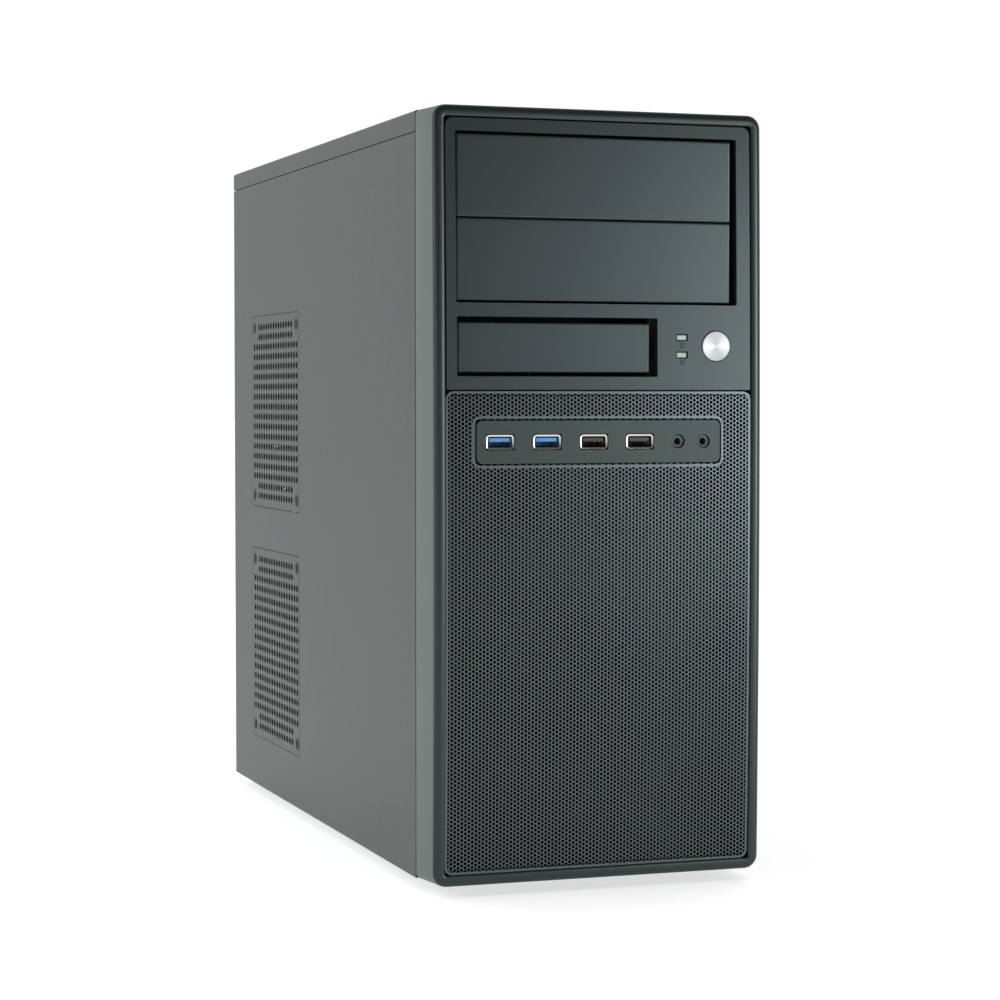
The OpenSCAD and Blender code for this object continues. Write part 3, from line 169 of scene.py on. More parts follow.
def loft(name, x, z, radius, profile, closed=True, caps=False, side=1, tall=1, corner=6, sag=0.0, sag_from=None):
    """Sweeps (inset, y) or (inset, y, corner radius) points round a rounded rectangle that faces the front."""
    bm = bmesh.new()
    rings = []
    for inset, y, *own_radius in profile:
        ring = ring_points((x[0] + inset, x[1] - inset), (z[0] + inset, z[1] - inset),
                           (own_radius[0] if own_radius else radius) - inset, corner, side, tall)
        share = 1.0 if sag_from is None else max(0.0, min(1.0, (sag_from - y) / (sag_from - profile_front(profile))))
        rings.append([bm.verts.new((px, y + bow(pz, sag) * share, pz)) for px, pz in ring])
    pairs = list(zip(rings, rings[1:] + ([rings[0]] if closed else [])))
    if not closed:
        pairs = pairs[:len(rings) - 1]
    for a, b in pairs:
        for i in range(len(a)):
            j = (i + 1) % len(a)
            bm.faces.new((a[i], a[j], b[j], b[i]))
    if caps:
        bm.faces.new(rings[0])
        bm.faces.new(list(reversed(rings[-1])))
    return object_from(name, bm)


def profile_front(profile):
    """The foremost y of a profile."""
    return min(point[1] for point in profile)


def turned(name, outline, centre, axis, steps=48):
    """Turns (radius, height) points about an axis through centre."""
    bm = bmesh.new()
    turn = Vector((0, 0, 1)).rotation_difference(Vector(axis)).to_matrix()
    rings = []
    for radius, height in outline:
        if radius < 1e-7:
            rings.append([bm.verts.new(Vector(centre) + turn @ Vector((0, 0, height)))])
        else:
            rings.append([bm.verts.new(Vector(centre) + turn @ Vector((radius * math.cos(2 * math.pi * i / steps),
                          radius * math.sin(2 * math.pi * i / steps), height))) for i in range(steps)])
    for a, b in zip(rings, rings[1:]):
        for i in range(steps):
            j = (i + 1) % steps
            if len(a) == 1 and len(b) == 1:
                continue
            if len(a) == 1:
                bm.faces.new((a[0], b[j], b[i]))
            elif len(b) == 1:
                bm.faces.new((a[i], a[j], b[0]))
            else:
                bm.faces.new((a[i], a[j], b[j], b[i]))
    return object_from(name, bm)


def panel_with_holes(name, outline, holes, y, thickness, cuts=0, sag=0.0):
    """A flat plate facing the front, with holes, sliced level so that it can bow."""
    bm = bmesh.new()
    edges = []
    for loop in [outline] + holes:
        verts = [bm.verts.new((px, 0, pz)) for px, pz in loop]
        edges += [bm.edges.new((verts[i], verts[(i + 1) % len(verts)])) for i in range(len(verts))]
    bmesh.ops.triangle_fill(bm, use_beauty=True, use_dissolve=False, edges=edges)
    low, high = min(p[1] for p in outline), max(p[1] for p in outline)
    for i in range(1, cuts):
        level = low + (high - low) * i / cuts
        bmesh.ops.bisect_plane(bm, geom=bm.verts[:] + bm.edges[:] + bm.faces[:], plane_co=(0, 0, level),
                               plane_no=(0, 0, 1), dist=1e-6)
    made = bmesh.ops.extrude_face_region(bm, geom=bm.faces[:])
    back = [v for v in made["geom"] if isinstance(v, bmesh.types.BMVert)]
    for v in back:
        v.co.y += thickness
    for v in bm.verts:
        v.co.y += y + bow(v.co.z, sag)
    return object_from(name, bm)


def block_mesh(bm, x, y, z):
    """Adds a box to a bmesh."""
    made = bmesh.ops.create_cube(bm, size=1.0)
    for v in made["verts"]:
        v.co = Vector(((x[0] + x[1]) / 2 + v.co.x * (x[1] - x[0]), (y[0] + y[1]) / 2 + v.co.y * (y[1] - y[0]),
                       (z[0] + z[1]) / 2 + v.co.z * (z[1] - z[0])))


def blocks(name, boxes):
    """One object of separate boxes."""
    bm = bmesh.new()
    for x, y, z in boxes:
        block_mesh(bm, x, y, z)
    return object_from(name, bm, doubles=0)


def joined(name, parts):
    """Joins parts into one object."""
    bm = bmesh.new()
    for part in parts:
        bm.from_mesh(part.data)
        bpy.data.objects.remove(part)
    mesh = bpy.data.meshes.new(name)
    bm.to_mesh(mesh)
    bm.free()
    piece = bpy.data.objects.new(name, mesh)
    bpy.context.scene.collection.objects.link(piece)
    return piece


def geometry_tree(name, sizes):
    """An empty geometry tree with named size inputs."""
    tree = bpy.data.node_groups.new(name, "GeometryNodeTree")
    tree.interface.new_socket("Geometry", in_out="INPUT", socket_type="NodeSocketGeometry")
    for label, kind in sizes:
        tree.interface.new_socket(label, in_out="INPUT", socket_type=kind)
    tree.interface.new_socket("Geometry", in_out="OUTPUT", socket_type="NodeSocketGeometry")
    return tree, add(tree, "NodeGroupInput"), add(tree, "NodeGroupOutput")


def grown(name, tree, values, seed_mesh=None):
    """Runs a geometry tree and returns its result as a plain mesh object."""
    host = bpy.data.objects.new("host", seed_mesh or bpy.data.meshes.new("host"))
    bpy.context.scene.collection.objects.link(host)
    made = host.modifiers.new("Grow", "NODES")
    made.node_group = tree
    for item in tree.interface.items_tree:
        if item.item_type == "SOCKET" and item.in_out == "INPUT" and item.name in values:
            made[item.identifier] = values[item.name]
    graph = bpy.context.evaluated_depsgraph_get()
    mesh = bpy.data.meshes.new_from_object(host.evaluated_get(graph), depsgraph=graph)
    bpy.data.objects.remove(host)
    mesh.name = name
    if not len(mesh.polygons):
        raise RuntimeError(name + " came out empty")
    piece = bpy.data.objects.new(name, mesh)
    bpy.context.scene.collection.objects.link(piece)
    return piece


def grid_points(tree, g, stagger):
    """Columns x Rows points from Corner, Pitch X and Pitch Z apart, every second column raised by stagger."""
    count = add(tree, "ShaderNodeMath", {0: g["Columns"], 1: g["Rows"]}, operation="MULTIPLY")
    points = add(tree, "GeometryNodePoints", {"Count": count})
    index = add(tree, "GeometryNodeInputIndex")
    passed = add(tree, "ShaderNodeMath", {0: index, 1: g["Rows"]}, operation="DIVIDE")
    column = add(tree, "ShaderNodeMath", {0: passed}, operation="FLOOR")
    row = add(tree, "ShaderNodeMath", {0: index, 1: g["Rows"]}, operation="MODULO")
    odd = add(tree, "ShaderNodeMath", {0: column, 1: 2.0}, operation="MODULO")
    raised = add(tree, "ShaderNodeMath", {0: odd, 1: stagger}, operation="MULTIPLY")
    level = add(tree, "ShaderNodeMath", {0: row, 1: raised}, operation="ADD")
    spot = add(tree, "ShaderNodeCombineXYZ", {
        "X": add(tree, "ShaderNodeMath", {0: column, 1: g["Pitch X"]}, operation="MULTIPLY"),
        "Z": add(tree, "ShaderNodeMath", {0: level, 1: g["Pitch Z"]}, operation="MULTIPLY")})
    placed = add(tree, "ShaderNodeVectorMath", {0: spot, 1: g["Corner"]}, operation="ADD")
    tree.links.new(placed.outputs["Vector"], points.inputs["Position"])
    return points, column, row


def sheet_from_cells(tree, points, cell, g, out):
    """Lays a flat cell on every point, welds the cells, bows them and gives them their thickness."""
    laid = add(tree, "GeometryNodeInstanceOnPoints", {"Points": points, "Instance": cell})
    real = add(tree, "GeometryNodeRealizeInstances", {"Geometry": laid})
    welded = add(tree, "GeometryNodeMergeByDistance", {"Distance": WELD, "Geometry": real})
    here = add(tree, "ShaderNodeSeparateXYZ", {"Vector": add(tree, "GeometryNodeInputPosition")})
    above = add(tree, "ShaderNodeMath", {0: here.outputs["Z"], 1: g["Middle"]}, operation="SUBTRACT")
    off = add(tree, "ShaderNodeMath", {0: above, 1: g["Half Height"]}, operation="DIVIDE")
    squared = add(tree, "ShaderNodeMath", {0: off, 1: off}, operation="MULTIPLY")
    back = add(tree, "ShaderNodeMath", {0: squared, 1: g["Sag"]}, operation="MULTIPLY")
    shift = add(tree, "ShaderNodeCombineXYZ", {"Y": back})
    bent = add(tree, "GeometryNodeSetPosition", {"Geometry": welded, "Offset": shift})
    thick = add(tree, "GeometryNodeExtrudeMesh", {"Individual": False, "Mesh": bent,
                                                  "Offset Scale": g["Thickness"]}, mode="FACES")
    both = add(tree, "GeometryNodeJoinGeometry")
    flipped = add(tree, "GeometryNodeFlipFaces", {"Mesh": bent})
    tree.links.new(thick.outputs["Mesh"], both.inputs["Geometry"])
    tree.links.new(flipped.outputs["Mesh"], both.inputs["Geometry"])
    closed = add(tree, "GeometryNodeMergeByDistance", {"Distance": WELD, "Geometry": both})
    painted = add(tree, "GeometryNodeSetMaterial", {"Geometry": closed, "Material": g["Surface"]})
    tree.links.new(painted.outputs["Geometry"], out.inputs["Geometry"])


def islands(node):
    """The boxes of a solid model node's separate lumps, as (low, high) corners."""
    bm = bmesh.new()
    bm.from_mesh(frame["nodes"][node].data)
    bmesh.ops.remove_doubles(bm, verts=bm.verts, dist=0.01 * MM)
    left, boxes = set(bm.verts), []
    while left:
        todo, lump = [left.pop()], []
        while todo:
            v = todo.pop()
            lump.append(v.co.copy())
            near = {e.other_vert(v) for e in v.link_edges} & left
            left -= near
            todo += near
        boxes.append((Vector([min(c[i] for c in lump) for i in range(3)]),
                      Vector([max(c[i] for c in lump) for i in range(3)])))
    bm.free()
    return sorted(boxes, key=lambda b: (round(b[0].x, 4), round(b[0].y, 4), round(b[0].z, 4)))


def to_side(piece, outer, side):
    """Lays a plate made in X and Z against a side of the case, its face outwards."""
    for v in piece.data.vertices:
        x, y, z = v.co
        v.co = (outer - side * y, x, z)
    if side < 0:
        piece.data.flip_normals()
    return piece


def round_tree():
    """Count copies of the incoming shape about an axis through Centre."""
    tree, given, out = geometry_tree("round_array", [
        ("Count", "NodeSocketInt"), ("Centre", "NodeSocketVector"), ("Turn", "NodeSocketVector"),
        ("Surface", "NodeSocketMaterial")])
    g = given.outputs
    points = add(tree, "GeometryNodePoints", {"Count": g["Count"]})
    share = add(tree, "ShaderNodeMath", {0: add(tree, "GeometryNodeInputIndex"), 1: g["Count"]}, operation="DIVIDE")
    angle = add(tree, "ShaderNodeMath", {0: share, 1: 2 * math.pi}, operation="MULTIPLY")
    spin = add(tree, "ShaderNodeCombineXYZ", {"Z": angle})
    laid = add(tree, "GeometryNodeInstanceOnPoints", {"Points": points, "Instance": g["Geometry"], "Rotation": spin})
    real = add(tree, "GeometryNodeRealizeInstances", {"Geometry": laid})
    placed = add(tree, "GeometryNodeTransform", {"Geometry": real, "Translation": g["Centre"], "Rotation": g["Turn"]})
    painted = add(tree, "GeometryNodeSetMaterial", {"Geometry": placed, "Material": g["Surface"]})
    tree.links.new(painted.outputs["Geometry"], out.inputs["Geometry"])
    return tree


def round_array(name, seed, count, centre, axis, surface):
    """Copies a seed mesh, made about +Z, round the given axis and makes it one plain piece."""
    tree = bpy.data.node_groups.get("round_array") or round_tree()
    turn = Vector((0, 0, 1)).rotation_difference(Vector(axis)).to_euler()
    return grown(name, tree, {"Count": count, "Centre": tuple(centre), "Turn": tuple(turn),
                              "Surface": bpy.data.materials[surface]}, seed_mesh=seed)


def seed_of(piece):
    """Keeps only the mesh of a helper object."""
    mesh = piece.data
    bpy.data.objects.remove(piece)
    return mesh


WELD = 0.04 * MM
SHEET_INPUTS = [(name, "NodeSocketFloat") for name in ("Pitch X", "Pitch Z", "Hole", "Thickness", "Sag",
                                                       "Half Height", "Middle")] + [
    ("Columns", "NodeSocketInt"), ("Rows", "NodeSocketInt"), ("Corner", "NodeSocketVector"),
    ("Surface", "NodeSocketMaterial")]


# ---- finishes ----

def new_surface(name):
    """A fresh material with its Principled shader and Object coordinates."""
    material = bpy.data.materials.new(name)
    material.use_nodes = True
    tree = material.node_tree
    shader = tree.nodes["Principled BSDF"]
    where = add(tree, "ShaderNodeTexCoord").outputs["Object"]
    return tree, shader, where


def toned(tree, fac, colour, spread):
    """A base colour that wanders a little with fac."""
    base = linear(colour)
    tone = add(tree, "ShaderNodeValToRGB", {"Fac": fac})
    for element, place, gain in zip(tone.color_ramp.elements, (0.3, 0.7), (1 - spread, 1 + spread)):
        element.position = place
        element.color = tuple(min(1.0, c * gain) for c in base[:3]) + (1.0,)
    return tone.outputs["Color"]


def grained(name, colour, rough, metallic=0.0, grain=0.5, depth=0.02, spread=0.05, patch=45.0, coat=0.0,
            specular=0.5, stretch=(1, 1, 1), rough_spread=0.02, tint="#ffffff"):
    """A finish with a skin grain (mm) of some depth (mm) and a slow, faint change of tone."""
    tree, shader, where = new_surface(name)
    shader.inputs["Metallic"].default_value = metallic
    shader.inputs["Coat Weight"].default_value = coat
    shader.inputs["Specular IOR Level"].default_value = specular
    shader.inputs["Specular Tint"].default_value = linear(tint)
    mapped = add(tree, "ShaderNodeMapping", {"Scale": stretch, "Vector": where})
    slow = add(tree, "ShaderNodeTexNoise", {"Scale": MM_PER_METRE / patch, "Detail": 3.0, "Vector": where})
    fine = add(tree, "ShaderNodeTexNoise", {"Scale": MM_PER_METRE / grain, "Detail": 2.0, "Vector": mapped})
    tree.links.new(toned(tree, slow, colour, spread), shader.inputs["Base Color"])
    gloss = add(tree, "ShaderNodeMapRange", {
        "From Min": 0.3, "From Max": 0.7, "To Min": rough - rough_spread, "To Max": rough + rough_spread,
        "Value": slow})
    tree.links.new(gloss.outputs["Result"], shader.inputs["Roughness"])
    bump = add(tree, "ShaderNodeBump", {"Strength": 1.0, "Distance": depth * MM, "Height": fine})
    tree.links.new(bump.outputs["Normal"], shader.inputs["Normal"])
    return tree, shader, where


# a faint green-blue cast in the highlights of the dark paint and plastic
COOL = "#e8ffff"


def hexes(colour):
    """An sRGB hex colour from a colour property."""
    return "#%02x%02x%02x" % tuple(round(v * 255) for v in colour)


class TOWER_OT_finishes(Operator):
    """Make every surface finish of the tower"""

    bl_idname = "tower.finishes"
    bl_label = "Finishes"

    def execute(self, context):
        look = context.scene.tower_looks
        # powder-coated steel: even dark grey with a faint orange-peel skin that softens the light
        grained("powder_coat", hexes(look.case_colour), 0.42, grain=0.9, depth=0.006, spread=0.01, patch=160,
                rough_spread=0.005, specular=0.4, tint=COOL)
        # moulded ABS, spark-eroded mould: fine dull grain, soft wide highlights
        grained("moulded_abs", hexes(look.front_colour), 0.3, grain=0.6, depth=0.006, spread=0.01, patch=160,
                rough_spread=0.005, tint=COOL)
        # the same ABS on the frame's outer band, a little duller, with its colour painted much lighter than the front:
        # a painted highlight for the light falling on that side
        grained("moulded_abs_lit_band", hexes(look.lit_band_colour), 0.5, grain=0.6, depth=0.01, spread=0.01, patch=160,
                rough_spread=0.005, tint=COOL)
        grained("moulded_abs_grey", hexes(look.panel_colour), 0.36, grain=0.6, depth=0.008, spread=0.01, patch=90,
                rough_spread=0.005, specular=0.4, tint=COOL)
        # perforated steel, powder-coated: satin webs between the holes
        grained("perforated_sheet", hexes(look.mesh_colour), 0.28, grain=0.7, depth=0.004, spread=0.02,
                specular=1.0, tint=COOL)
        # die-drawn nickel plate: bright, nearly smooth shells
        grained("nickel_plate", "#c9c6bf", 0.18, metallic=1.0, grain=0.4, depth=0.002, spread=0.03, patch=8)
        grained("blue_nylon", "#3f86c4", 0.4, grain=0.4, depth=0.004)
        grained("black_nylon", "#141516", 0.42, grain=0.4, depth=0.006)
        grained("cream_nylon", "#e4ddc8", 0.4, grain=0.4, depth=0.004)
        grained("glass_filled_fan", "#17181a", 0.28, grain=0.8, depth=0.006)
        # smoked acrylic lens over an unlit light: grey-green, smooth
        grained("milky_acrylic", "#9fb0a8", 0.22, grain=1.2, depth=0.002)
        grained("soft_rubber", "#161616", 0.75, grain=0.7, depth=0.02)
        grained("zinc_screw", "#b9bcbd", 0.3, metallic=1.0, grain=0.5, depth=0.004, patch=5)
        grained("black_zinc", "#1b1c1e", 0.34, metallic=0.7, grain=0.5, depth=0.004, patch=5)
        grained("turned_brass", "#b8924a", 0.3, metallic=1.0, grain=0.3, depth=0.003, stretch=(0.1, 1, 1), patch=5)
        grained("extruded_aluminium", "#c3c6c8", 0.32, metallic=1.0, grain=0.3, depth=0.006, stretch=(1, 0.04, 1))
        grained("die_cast_aluminium", "#9fa2a4", 0.5, metallic=0.9, grain=0.8, depth=0.03, patch=12)
        grained("pvc_red", "#a81c1c", 0.38, grain=0.5, depth=0.004)
        # moulded-in marks: matt and darker than the plastic they sit on
        grained("sunk_mark", "#121514", 0.7, grain=0.3, depth=0.001, specular=0.05)
        # black paint on the steel behind the mesh and of the cages, made near-black and barely reflective: partly
        # painted shade for the dark inside of the case
        grained("black_paint_and_shade", "#070808", 0.65, grain=0.8, depth=0.006, specular=0.12)
        grained("chip_epoxy", "#1c1d1f", 0.55, grain=0.25, depth=0.008)
        self.spun_aluminium()
        self.zinc_sheet()
        self.solder_mask()
        self.braided_sleeve()
        return {"FINISHED"}

    def spun_aluminium(self):
        """Aluminium faced on a lathe: fine rings stretch the light into streaks from the centre."""
        tree, shader, where = new_surface("spun_aluminium")
        shader.inputs["Base Color"].default_value = linear("#b2b7b7")
        shader.inputs["Metallic"].default_value = 1.0
        shader.inputs["Roughness"].default_value = 0.46
        shader.inputs["Anisotropic"].default_value = 0.9
        shader.inputs["Anisotropic Rotation"].default_value = 0.25
        rings = add(tree, "ShaderNodeTangent", direction_type="RADIAL", axis="Y")
        tree.links.new(rings.outputs["Tangent"], shader.inputs["Tangent"])

    def zinc_sheet(self):
        """Hot-dip zinc on steel sheet: grey metal with soft crystal spangles, 6 mm or so across."""
        zinc, crystal = "#a3a8ab", 6.0
        tree, shader, where = grained("zinc_sheet", zinc, 0.38, metallic=0.85, grain=0.5, depth=0.003)
        spangle = add(tree, "ShaderNodeTexVoronoi", {"Scale": MM_PER_METRE / crystal, "Vector": where}).outputs["Color"]
        tree.links.new(toned(tree, spangle, zinc, 0.04), shader.inputs["Base Color"])
        gloss = add(tree, "ShaderNodeMapRange", {"To Min": 0.34, "To Max": 0.42, "Value": spangle})
        tree.links.new(gloss.outputs["Result"], shader.inputs["Roughness"])

    def solder_mask(self):
        """Green solder mask over copper: smooth lacquer with faint raised tracks."""
        green = "#12452c"
        tree, shader, where = grained("solder_mask", green, 0.3, grain=0.5, depth=0.003, coat=0.3)
        turned_up = add(tree, "ShaderNodeMapping", {"Rotation": (0, math.radians(90), 0), "Vector": where})
        tracks = add(tree, "ShaderNodeTexBrick", {
            "Scale": 60.0, "Mortar Size": 0.012, "Brick Width": 0.9, "Row Height": 0.12, "Color1": linear(green),
            "Color2": linear("#16503a"), "Mortar": linear("#1f6b45"), "Vector": turned_up})
        tree.links.new(tracks.outputs["Color"], shader.inputs["Base Color"])

    def braided_sleeve(self):
        """Woven polyester sleeve over the wires: fine crossing threads about 1 mm apart."""
        tree, shader, where = new_surface("braided_sleeve")
        shader.inputs["Roughness"].default_value = 0.6
        threads = []
        for turn in (0.8, -0.8):
            slanted = add(tree, "ShaderNodeMapping", {"Rotation": (turn, turn * 0.7, turn), "Vector": where})
            wave = add(tree, "ShaderNodeTexWave", {"Scale": 50.0, "Distortion": 1.0, "Vector": slanted})
            threads.append(wave.outputs["Fac"])
        weave = add(tree, "ShaderNodeMath", {0: threads[0], 1: threads[1]}, operation="MAXIMUM")
        tree.links.new(toned(tree, weave, "#1c1d1f", 0.4), shader.inputs["Base Color"])
        bump = add(tree, "ShaderNodeBump", {"Strength": 0.8, "Distance": 0.2 * MM, "Height": weave})
        tree.links.new(bump.outputs["Normal"], shader.inputs["Normal"])


# ---- sizes and colours a user would change ----

def colour_prop(name, description, hex_colour):
    """A colour property whose default is an sRGB hex colour."""
    value = tuple(int(hex_colour[i:i + 2], 16) / 255 for i in (1, 3, 5))
    return FloatVectorProperty(name=name, description=description, subtype="COLOR_GAMMA", size=3, default=value,
                               min=0.0, max=1.0)


class TowerLooks(PropertyGroup):
    """Colours of the painted and moulded surfaces"""

    case_colour: colour_prop("Case", "Colour of the painted steel", "#2a3331")
    front_colour: colour_prop("Front", "Colour of the moulded front", "#151b1a")
    # the side band is the same dark plastic as the front; its light grey is a painted highlight for the light falling
    # on that side
    lit_band_colour: colour_prop("Band", "Colour of the front frame's side band", "#505956")
    panel_colour: colour_prop("Port strip", "Colour of the port strip", "#262d2b")
    mesh_colour: colour_prop("Mesh", "Colour of the perforated sheet", "#2a3230")


class TowerSizes(PropertyGroup):
    """Sizes of the front's curves and of the holes"""

    front_sag: FloatProperty(name="Front bow", description="How far the front curves back at its ends",
                             default=0.003, unit="LENGTH")
    rim_round: FloatProperty(name="Rim rounding", description="Rounding of the front frame's outer edge",
                             default=0.0032, unit="LENGTH")
    mesh_pitch: FloatProperty(name="Mesh pitch", description="Distance between neighbouring mesh holes",
                              default=0.00215, unit="LENGTH")
    mesh_hole: FloatProperty(name="Mesh hole", description="Hole size as a share of its cell", default=0.76,
                             subtype="FACTOR")
    vent_pitch: FloatProperty(name="Vent pitch", description="Distance between side vent holes",
                              default=0.0062, unit="LENGTH")
    vent_hole: FloatProperty(name="Vent hole", description="Diameter of a side vent hole", default=0.0042,
                             unit="LENGTH")
    vent_count: IntProperty(name="Vent count", description="Vent holes along one side of a field", default=18)


# ---- front ----

class TOWER_OT_front_frame(Operator):
    """Build the front frame with its raised rim"""

    bl_idname = "tower.front_frame"
    bl_label = "Front Frame"

    def execute(self, context):
        size = context.scene.tower_sizes
        soft = size.rim_round
        wall = 2.4 * MM
        lip = 0.5 * MM
        quarter = [math.radians(90 * i / 6) for i in range(7)]
        outer = [(soft * (1 - math.cos(a)), FRONT + soft * (1 - math.sin(a))) for a in quarter]
        rim_back = FRONT + 7 * MM
        square = 2.6 * MM
        profile = [(0.3 * MM, BEZEL_BACK, square), (0, BEZEL_BACK - 0.3 * MM, square)] + outer + [
            (RIM - 2 * lip, FRONT + 0.1 * MM), (RIM - lip, FRONT + 0.2 * MM), (RIM, FRONT + 0.6 * MM),
            (RIM, rim_back), (wall, rim_back), (wall, BEZEL_BACK, square)]
        piece = loft("front_frame", (-HALF_W, HALF_W), (BASE, TOP), 7 * MM, profile, side=4, tall=24,
                     sag=size.front_sag, sag_from=COVERS + 3 * MM)
        finish_piece(piece, "bezel", "moulded_abs", ["bezel_frame"])
        piece.data.materials.append(bpy.data.materials["moulded_abs_lit_band"])
        # the frame's side faces take the lighter copy of the plastic: a painted highlight on that side
        for face in piece.data.polygons:
            if face.center.y > COVERS + 0.5 * MM and abs(face.normal.y) < 0.5:
                face.material_index = 1
        return {"FINISHED"}


class TOWER_OT_front_face(Operator):
    """Build the upper front face with its openings"""

    bl_idname = "tower.front_face"
    bl_label = "Front Face"

    def execute(self, context):
        sag = context.scene.tower_sizes.front_sag
        lo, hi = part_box("bezel_face")
        y = FRONT + 0.7 * MM
        half = HALF_W - RIM - 0.8 * MM
        outline = ring_points((-half, half), (lo.z, hi.z - 0.5 * MM), 4.2 * MM, side=1, tall=1)
        outline = [(px, pz) for px, pz in outline if pz > lo.z + 4.3 * MM] + [(-half, lo.z), (half, lo.z)]
        wide = self.around(["bay_cover_top", "bay_cover_middle"], left=1.1, right=2.5, low=1.1, high=1.1)
        narrow = self.around(["bay_cover_small"], left=1.7, right=2.6, low=2.0, high=2.6)
        b_lo, b_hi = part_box("power_button")
        centre = ((b_lo.x + b_hi.x) / 2, (b_lo.z + b_hi.z) / 2)
        r = (b_hi.x - b_lo.x) / 2 + 0.5 * MM
        round_hole = [(centre[0] + r * math.cos(a), centre[1] + r * math.sin(a))
                      for a in [2 * math.pi * i / 40 for i in range(40)]]
        holes = [ring_points(*wide, 0.8 * MM, corner=3), ring_points(*narrow, 0.8 * MM, corner=3), round_hole]
        for x, z in light_windows():
            holes.append(ring_points((x[0] - 0.5 * MM, x[1] + 0.5 * MM), (z[0] - 0.5 * MM, z[1] + 0.5 * MM),
                                     0.4 * MM, corner=2))
        plate = panel_with_holes("front_face", outline, holes, y, 2.2 * MM, cuts=14, sag=sag)
        bevel(plate, 0.45 * MM, 2)
        finish_piece(plate, "bezel", "moulded_abs", ["bezel_face"])
        walls = []
        deep = 12 * MM
        for x, z in (wide, narrow):
            walls.append(loft("wall", (x[0] - 1.4 * MM, x[1] + 1.4 * MM), (z[0] - 1.4 * MM, z[1] + 1.4 * MM),
                              1.5 * MM, [(0, COVERS - 1.0 * MM), (1.3 * MM, COVERS - 1.0 * MM),
                                         (1.3 * MM, COVERS + deep), (0, COVERS + deep)], corner=3))
        walls.append(turned("collar", [(r - 0.1 * MM, 0), (r + 1.5 * MM, 0), (r + 1.5 * MM, 11 * MM),
                                       (r - 0.1 * MM, 11 * MM), (r - 0.1 * MM, 0)],
                            (centre[0], COVERS - 1.2 * MM, centre[1]), (0, 1, 0)))
        finish_piece(joined("front_face_walls", walls), "bezel", "moulded_abs")
        return {"FINISHED"}

    def around(self, nodes, left, right, low, high):
        """The opening round some covers, with a gap (mm) on each side."""
        boxes = [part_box(n) for n in nodes]
        return ((min(b[0].x for b in boxes) - left * MM, max(b[1].x for b in boxes) + right * MM),
                (min(b[0].z for b in boxes) - low * MM, max(b[1].z for b in boxes) + high * MM))


def light_windows():
    """The two light windows, from the lens solids: (x range, z range) of each."""
    lo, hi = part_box("led_lenses")
    x = (lo.x + 1 * MM, hi.x - 1 * MM)
    tall = 2.6 * MM
    return [(x, (hi.z - 1 * MM - tall, hi.z - 1 * MM)), (x, (lo.z + 1 * MM, lo.z + 1 * MM + tall))]


class TOWER_OT_lights(Operator):
    """Build the light lenses and their marks"""

    bl_idname = "tower.lights"
    bl_label = "Lights"

    def execute(self, context):
        sag = context.scene.tower_sizes.front_sag
        lenses = []
        for x, z in light_windows():
            front = FRONT + 1.2 * MM + bow(z[0], sag)
            lenses.append(loft("lens", x, z, 0.5 * MM, [(0, COVERS + 8 * MM), (0, front + 0.3 * MM),
                                                        (0.3 * MM, front)], closed=False, caps=True, corner=3))
        finish_piece(joined("light_lenses", lenses), "bezel", "milky_acrylic", ["led_lenses"])
        marks = []
        for k, (x, z) in enumerate(light_windows()):
            cx, cz = (x[0] + x[1]) / 2, z[0] - 2.6 * MM
            y = FRONT + 0.7 * MM + bow(cz, sag) - 0.04 * MM
            if k == 0:
                marks.append(turned("bulb", [(0.75 * MM, 0), (0.75 * MM, 0.1 * MM), (1.05 * MM, 0.1 * MM),
                                             (1.05 * MM, 0), (0.75 * MM, 0)], (cx, y, cz + 0.3 * MM), (0, 1, 0), 20))
                marks.append(blocks("foot", [((cx - 0.4 * MM, cx + 0.4 * MM), (y, y + 0.1 * MM),
                                              (cz - 1.5 * MM, cz - 0.85 * MM))]))
            else:
                marks.append(loft("disk", (cx - 1.2 * MM, cx + 1.2 * MM), (cz - 1.1 * MM, cz + 1.1 * MM), 0.5 * MM,
                                  [(0, y), (0.28 * MM, y), (0.28 * MM, y + 0.1 * MM), (0, y + 0.1 * MM)], corner=3))
                marks.append(blocks("slot", [((cx - 0.9 * MM, cx + 0.9 * MM), (y, y + 0.1 * MM),
                                              (cz - 0.15 * MM, cz + 0.12 * MM))]))
        finish_piece(joined("light_marks", marks), "bezel", "sunk_mark")
        return {"FINISHED"}


class TOWER_OT_bay_covers(Operator):
    """Build the blank drive covers"""

    bl_idname = "tower.bay_covers"
    bl_label = "Drive Covers"

    def execute(self, context):
        for node in ("bay_cover_top", "bay_cover_middle", "bay_cover_small"):
            lo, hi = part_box(node)
            x, z = (lo.x, hi.x), (lo.z, hi.z)
            profile = [(2 * MM, lo.y + 10 * MM), (0, lo.y + 10 * MM), (0, lo.y + 0.5 * MM),
                       (0.15 * MM, lo.y + 0.15 * MM), (0.5 * MM, lo.y), (1.1 * MM, lo.y)]
            shell = loft(node + "_shell", x, z, 0.8 * MM, profile, closed=False, corner=3, side=8, tall=4)
            bm = bmesh.new()
            bm.from_mesh(shell.data)
            bpy.data.objects.remove(shell)
            rims = [e for e in bm.edges if e.is_boundary]
            front = [e for e in rims if all(abs(v.co.y - lo.y) < 1e-6 for v in e.verts)]
            bmesh.ops.contextual_create(bm, geom=front)
            back = [e for e in bm.edges if e.is_boundary]
            inner = bmesh.ops.extrude_edge_only(bm, edges=back)
            moved = [v for v in inner["geom"] if isinstance(v, bmesh.types.BMVert)]
            for v in moved:
                v.co.y = lo.y + 2 * MM
            bmesh.ops.contextual_create(bm, geom=[e for e in bm.edges if e.is_boundary])
            mid = (z[0] + z[1]) / 2
            for side in (x[0], x[1] - 1.6 * MM):
                block_mesh(bm, (side, side + 1.6 * MM), (lo.y + 9 * MM, hi.y), (mid - 5 * MM, mid + 5 * MM))
            piece = object_from(node + "_plate", bm)
            finish_piece(piece, node, "moulded_abs", [node])
        return {"FINISHED"}


